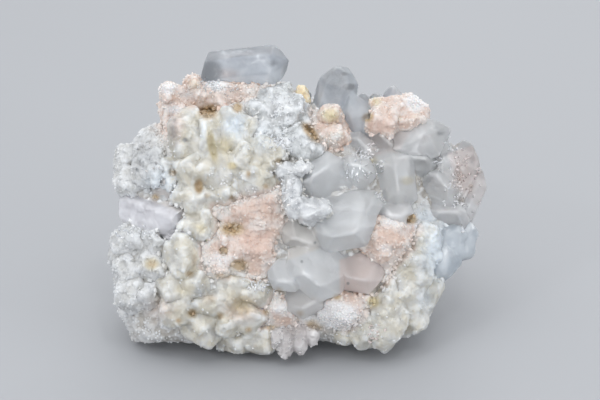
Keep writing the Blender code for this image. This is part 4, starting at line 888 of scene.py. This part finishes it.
LOCAL_FINISH = {
    # finish: the nodes that have it in place of their slot's own
    "ice_quartz": (
        "upright_quartz_crystals", "small_clear_crystal", "grey_spike_crystal", "lying_quartz_crystal",
    ),
    "lilac_quartz": ("left_quartz_crystals",),
    "cream_calcite": (
        "left_calcite_columns", "lower_right_calcite_columns", "lower_left_calcite_lumps",
        "back_calcite_blocks",
    ),
    "white_calcite": ("left_white_calcite", "left_calcite_knobs"),
    "frosted_calcite": ("upper_calcite_lumps",),
    "rough_quartz": ("bottom_quartz_crystals",),
    "snowy_calcite": ("snowy_calcite_crest",),
    "ice_calcite": ("right_clear_calcite",),
}
FINISH_OF = {**SLOT_OF, **{node: finish for finish, nodes in LOCAL_FINISH.items() for node in nodes}}
print("finishes in use", sorted(set(FINISH_OF.values())))

# %% From a modifier to plain mesh


def settle(thing):
    """Turn a thing's modifiers into plain mesh."""
    depsgraph = bpy.context.evaluated_depsgraph_get()
    result = bpy.data.meshes.new_from_object(thing.evaluated_get(depsgraph))
    thing.modifiers.clear()
    spent = thing.data
    thing.data = result
    bpy.data.meshes.remove(spent)
    thing.data.name = thing.name


def run_tree(thing, board, values):
    """Run a tree over a thing and keep the result as its mesh."""
    modifier = thing.modifiers.new(board.tree.name, "NODES")
    modifier.node_group = board.tree
    for name, value in values.items():
        modifier[board.inputs[name]] = value
    settle(thing)


# %% Grow the skins
MERGE_REACH = 1e-6


def even_copy(node, face_size):
    """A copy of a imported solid, cut into even small faces."""
    mesh = frame["nodes"][node].data.copy()
    shape = bmesh.new()
    shape.from_mesh(mesh)
    bmesh.ops.remove_doubles(shape, verts=shape.verts, dist=MERGE_REACH)
    shape.to_mesh(mesh)
    shape.free()
    copy = bpy.data.objects.new(node + "_skin", mesh)
    bpy.context.scene.collection.objects.link(copy)
    evener = copy.modifiers.new("even faces", "REMESH")
    evener.mode = "VOXEL"
    evener.voxel_size = face_size
    settle(copy)
    return copy


def grow(thing, finish, seed):
    """Run the growth tree over a thing, with its mineral's numbers."""
    values = {"Seed": seed, "Material": FINISHES[finish]}
    for name, number in zip(GROWTH_NUMBERS, GROWTH_OF[finish][1:]):
        values[name] = number * MM if name in IN_MILLIMETRES else number
    run_tree(thing, growth, values)


def triangles(mesh):
    return sum(len(face.vertices) - 2 for face in mesh.polygons)


SEED_STEP = 0.037
skins = {}
for number, node in enumerate(sorted(frame["nodes"])):
    skin = even_copy(node, GROWTH_OF[FINISH_OF[node]][0] * MM)
    if node == "vein_rock":
        raise_rock(skin.data)
    else:
        press_pits(skin.data, PITS + (SUNK_ENDS if node == "left_quartz_crystals" else ()))
    if node == "lying_quartz_crystal":
        blunt_tip(skin.data)
    grow(skin, FINISH_OF[node], SEED_STEP * number)
    stand_on_table(skin.data)
    skins[node] = skin
counts = [triangles(skin.data) for skin in skins.values()]
print("skins", len(skins), "with", sum(counts), "triangles, the largest", max(counts))

# %% [markdown]
# ## Depth, neighbours and local colours
#
# Once all skins stand, each is measured against the others. The joined copies are
# only there to be measured against, and go away again.

# %% Measure every skin against its neighbours


def joined_copy(name, things):
    """One plain object made of many."""
    shape = bmesh.new()
    for thing in things:
        shape.from_mesh(thing.data)
    mesh = bpy.data.meshes.new(name)
    shape.to_mesh(mesh)
    shape.free()
    joined = bpy.data.objects.new(name, mesh)
    bpy.context.scene.collection.objects.link(joined)
    return joined


def discard(thing):
    mesh = thing.data
    bpy.data.objects.remove(thing)
    bpy.data.meshes.remove(mesh)


crowds = {}
for name, slots in CROWDS.items():
    members = [skin for node, skin in skins.items() if slots is None or SLOT_OF[node] in slots]
    crowds[name] = joined_copy("crowd_" + name, members)
    print("crowd", name, len(members), "skins")
for node, skin in skins.items():
    run_tree(skin, looking, {**crowds, "Material": FINISHES[FINISH_OF[node]]})
    store_patches(skin.data)
    store_crystal_tints(skin.data)
for crowd_thing in crowds.values():
    discard(crowd_thing)


# %% [markdown]
# ## Sugar and druse
#
# Frosted places are covered with thousands of tiny crystals. They are one shape,
# placed many times: a tree spreads points over a skin, thickly where the surface is
# marked for it, puts a small crystal on each, turns and scales it at random, and
# makes it all real mesh. Every crystal takes the colour of the spot where it grows.

# %% The tree that sows crystals
THICKLY = 4.0
FULL_TURN = 6.28
SIZE_SEED = 7

sowing, given = start_tree("sown_crystals", {
    "Geometry": "Geometry", "Shape": "Object", "Mark": "String", "Spacing": "Float", "Largest": "Float",
    "Lean": "Float", "Seed": "Int", "Material": "Material"})
mark = sowing.add("GeometryNodeInputNamedAttribute", {"data_type": "FLOAT"}, {"Name": given["Mark"]})
spread = sowing.add("GeometryNodeDistributePointsOnFaces", {"distribute_method": "POISSON"}, {
    "Mesh": given["Geometry"], "Distance Min": given["Spacing"],
    "Density Max": THICKLY / (given["Spacing"] * given["Spacing"]), "Density Factor": mark,
    "Seed": given["Seed"]})
outward = Wire(sowing, spread.socket.node.outputs["Rotation"])
turn = sowing.add("FunctionNodeRandomValue", {"data_type": "FLOAT_VECTOR"}, {"Seed": given["Seed"]})
turned = (turn - HALF) * sowing.add("ShaderNodeCombineXYZ", None, {
    0: given["Lean"], 1: given["Lean"], 2: FULL_TURN})
leaning = sowing.add("FunctionNodeRotateRotation", {"rotation_space": "LOCAL"}, {
    "Rotation": outward, "Rotate By": sowing.add("FunctionNodeEulerToRotation", None, {0: turned})})
size = sowing.add("FunctionNodeRandomValue", {"data_type": "FLOAT_VECTOR"}, {"Seed": given["Seed"] + SIZE_SEED})
shape = sowing.add("GeometryNodeObjectInfo", None, {"Object": given["Shape"]}, "Geometry")
placed = sowing.add("GeometryNodeInstanceOnPoints", None, {
    "Points": spread, "Instance": shape, "Rotation": leaning,
    "Scale": (size * 0.5 + HALF) * given["Largest"]})
end_tree(sowing, placed, given["Material"])

# %% [markdown]
# ### The two shapes that are sown
#
# A grain of sugar is a short six-sided crystal, and a needle of druse a slim one
# with a point. Each is built ring by ring and has 13 faces only, because it is
# repeated thousands of times.

# %% A grain and a needle
SIDES = 6


def shape_object(name, rings, tip):
    """A small closed crystal from six-sided rings of (radius, height, twist), with its tip above them."""
    shape = bmesh.new()
    loops = []
    for radius, height, twist in rings:
        angles = [side * math.pi / 3.0 + twist for side in range(SIDES)]
        loops.append([
            shape.verts.new((radius * math.cos(angle), radius * math.sin(angle), height)) for angle in angles])
    following = [(side + 1) % SIDES for side in range(SIDES)]
    for low, high in zip(loops, loops[1:]):
        for side in range(SIDES):
            shape.faces.new((low[side], low[following[side]], high[following[side]], high[side]))
    top = shape.verts.new((0.0, 0.0, tip))
    for side in range(SIDES):
        shape.faces.new((loops[-1][side], loops[-1][following[side]], top))
    shape.faces.new(list(reversed(loops[0])))
    mesh = bpy.data.meshes.new(name)
    shape.to_mesh(mesh)
    shape.free()
    thing = bpy.data.objects.new(name, mesh)
    bpy.context.scene.collection.objects.link(thing)
    return thing


sugar_shape = shape_object("sugar_shape", ((0.30, -0.35, 0.0), (0.52, 0.0, 0.3)), 0.42)
point_shape = shape_object("point_shape", ((0.30, -0.5, 0.0), (0.34, 0.8, 0.0)), 1.25)
print("faces of a grain and a needle", len(sugar_shape.data.polygons), len(point_shape.data.polygons))

# %% [markdown]
# ### Where crystals grow
#
# Sugar grows on frosted places, on crests and along the borders between minerals,
# and each mineral has its own share of it. Larger grains fill the gaps between
# minerals. Needles of druse stand only in the spots that are listed. Sugar and druse
# keep out of deep clefts, and nothing grows inside a clear crystal or so near the
# table that it would go through it.

# %% Mark where crystals grow
DRUSE = (
    (-4.0, 13.6, 4.0, 2.4, 1.0, 0), (12.2, 7.3, 3.6, 3.0, 1.0, 0), (14.5, 11.0, 3.6, 2.4, 1.0, 0),
    (-17.2, 25.2, 5.4, 2.2, 1.0, -8), (-8.0, -17.5, 3.4, 2.2, 1.0, 0), (16.0, -26.7, 3.6, 2.4, 0.9, 0),
    (-3.2, 20.5, 5.0, 4.0, 0.6, 0), (-2.0, 3.0, 2.0, 6.0, 0.5, 0), (17.8, 8.2, 1.6, 1.6, 0.8, 0),
    (17.8, 1.8, 1.6, 1.6, 0.8, 0), (34.6, 5.5, 4.6, 9.0, 0.8, 0), (30.5, 9.5, 4.0, 1.5, 0.6, 0),
    (-34.0, -5.8, 6.0, 1.8, 0.7, 0), (-30.0, 8.0, 3.0, 2.0, 0.5, 0),
)
SUGAR = {
    # finish: how much everywhere, on frost, on crests, and at borders
    "cream_calcite": (0.01, 0.6, 0.06, 0.12),
    "white_calcite": (0.10, 0.8, 0.18, 0.22),
    "frosted_calcite": (0.03, 0.4, 0.08, 0.20),
    "snowy_calcite": (0.02, 0.15, 0.12, 0.06),
    "rough_quartz": (0.12, 0.4, 0.15, 0.20),
    "rhodochrosite": (0.13, 0.8, 0.18, 0.26),
    "vein_rock": (0.14, 0.8, 0.20, 0.30),
}
TOO_DEEP = 0.55
GAP_DEPTH, GAP_SPAN = 0.28, 0.2
OFF_TABLE, GRAIN_OFF_TABLE = 1.2 * MM, 2.4 * MM


def values_of(mesh, name):
    values = np.zeros(len(mesh.vertices), dtype=np.float32)
    mesh.attributes[name].data.foreach_get("value", values)
    return values


def mark_for_sowing(node, mesh):
    """Store how thickly sugar, gap grains and druse grow on a skin."""
    deep, under, frost, crest = (values_of(mesh, name) for name in ("deep", "under", "frost", "crest"))
    right, up, near = seen_from_front(points_of(mesh))
    height = points_of(mesh)[:, 2]
    open_air = np.clip(1.0 - under * 2.0, 0.0, 1.0) * (deep < TOO_DEEP) * (height > OFF_TABLE)
    if FINISH_OF[node] in SUGAR:
        plain, on_frost, on_crest, at_border = SUGAR[FINISH_OF[node]]
        neighbour = "by_calcite" if SLOT_OF[node] == "rhodochrosite" else "by_rhodochrosite"
        border = np.clip(values_of(mesh, neighbour), 0.0, 1.0)
        sown = plain + on_frost * frost + on_crest * np.clip(crest, 0, 1) + at_border * border
        store(mesh, "sown", np.clip(sown, 0.0, 1.0) * open_air)
    gaps = np.clip((deep - GAP_DEPTH) / GAP_SPAN, 0.0, 1.0)
    store(mesh, "gap", gaps * (under < 0.5) * (height > GRAIN_OFF_TABLE))
    store(mesh, "druse", np.where(near > FRONT_HALF, patch_strength(DRUSE, right, up), 0.0) * open_air)


for node, skin in skins.items():
    mark_for_sowing(node, skin.data)
print("druse spots", len(DRUSE), "and sugar on", sorted(SUGAR))

# %% Sow the crystals
SOWN = {
    # mark: shape, spacing and largest size in millimetres, lean, and what is added to the seed
    "sown": (sugar_shape, 0.55, 0.75, 2.4, 0),
    "gap": (sugar_shape, 1.0, 1.7, 2.4, 90),
    "druse": (point_shape, 0.62, 0.80, 1.0, 50),
}
GRAIN_FINISH = {"rhodochrosite": "pink_sugar", "rough_quartz": "druse_quartz"}


def sow(mark, node, finish):
    """Sow crystals on a skin and give them back as one plain mesh."""
    shape, spacing, largest, lean, added = SOWN[mark]
    bed = bpy.data.objects.new(node + "_" + mark, skins[node].data.copy())
    bpy.context.scene.collection.objects.link(bed)
    run_tree(bed, sowing, {
        "Shape": shape, "Mark": mark, "Spacing": spacing * MM, "Largest": largest * MM, "Lean": lean,
        "Seed": list(skins).index(node) + added, "Material": FINISHES[finish]})
    return bed


def join_pieces(name, pieces):
    """Join pieces that share a body and a slot."""
    for piece in [piece for piece in pieces if not piece.data.polygons]:
        pieces.remove(piece)
        discard(piece)
    with bpy.context.temp_override(active_object=pieces[0], selected_editable_objects=pieces):
        bpy.ops.object.join()
    pieces[0].name = pieces[0].data.name = name
    return pieces[0]


sugar = {}
for node in skins:
    if FINISH_OF[node] in SUGAR:
        sugar.setdefault((SLOT_OF[node], FINISH_OF[node]), []).append(node)
extras = []
for (slot, finish), nodes in sugar.items():
    grain = GRAIN_FINISH.get(finish, "white_sugar")
    beds = [sow(mark, node, grain) for mark in ("sown", "gap") for node in nodes]
    extras.append((join_pieces(finish + "_sugar", beds), slot))
beds = [sow("druse", node, "druse_quartz") for node in skins]
extras.append((join_pieces("quartz_druse", beds), "milky_quartz"))
discard(sugar_shape)
discard(point_shape)

# %% [markdown]
# ## Who rides on what
#
# Nothing on a stone moves, so every piece rides on the one body. Each skin stands
# for the solid that it grew on, which is hidden. The sown crystals are extra
# pieces.

# %% Tell the frame
for piece, slot in extras:
    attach(piece, "root")
    print(piece.name, triangles(piece.data), "triangles")

for node, skin in skins.items():
    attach(skin, "root")
    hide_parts(node)


# %% [markdown]
# ## The table
#
# The specimen stands on a plain pale table that fills the view. It is one large
# face with an even, rather matt finish, so that nothing on it draws the eye.

# %% Table
TABLE_REACH = 2.0
TABLE_COLOUR = (0.40, 0.41, 0.43, 1.0)

table_mesh = bpy.data.meshes.new("table")
corners = [(x * TABLE_REACH, y * TABLE_REACH, 0.0) for x, y in ((-1, -1), (1, -1), (1, 1), (-1, 1))]
table_mesh.from_pydata(corners, [], [(0, 1, 2, 3)])
table = bpy.data.objects.new("table", table_mesh)
bpy.context.scene.collection.objects.link(table)
table_finish, _, table_shader = new_finish("pale_table")
set_numbers(table_shader, {"Base Color": TABLE_COLOUR, "Roughness": 0.6})
table_mesh.materials.append(table_finish)
print("table", 2.0 * TABLE_REACH, "m wide")
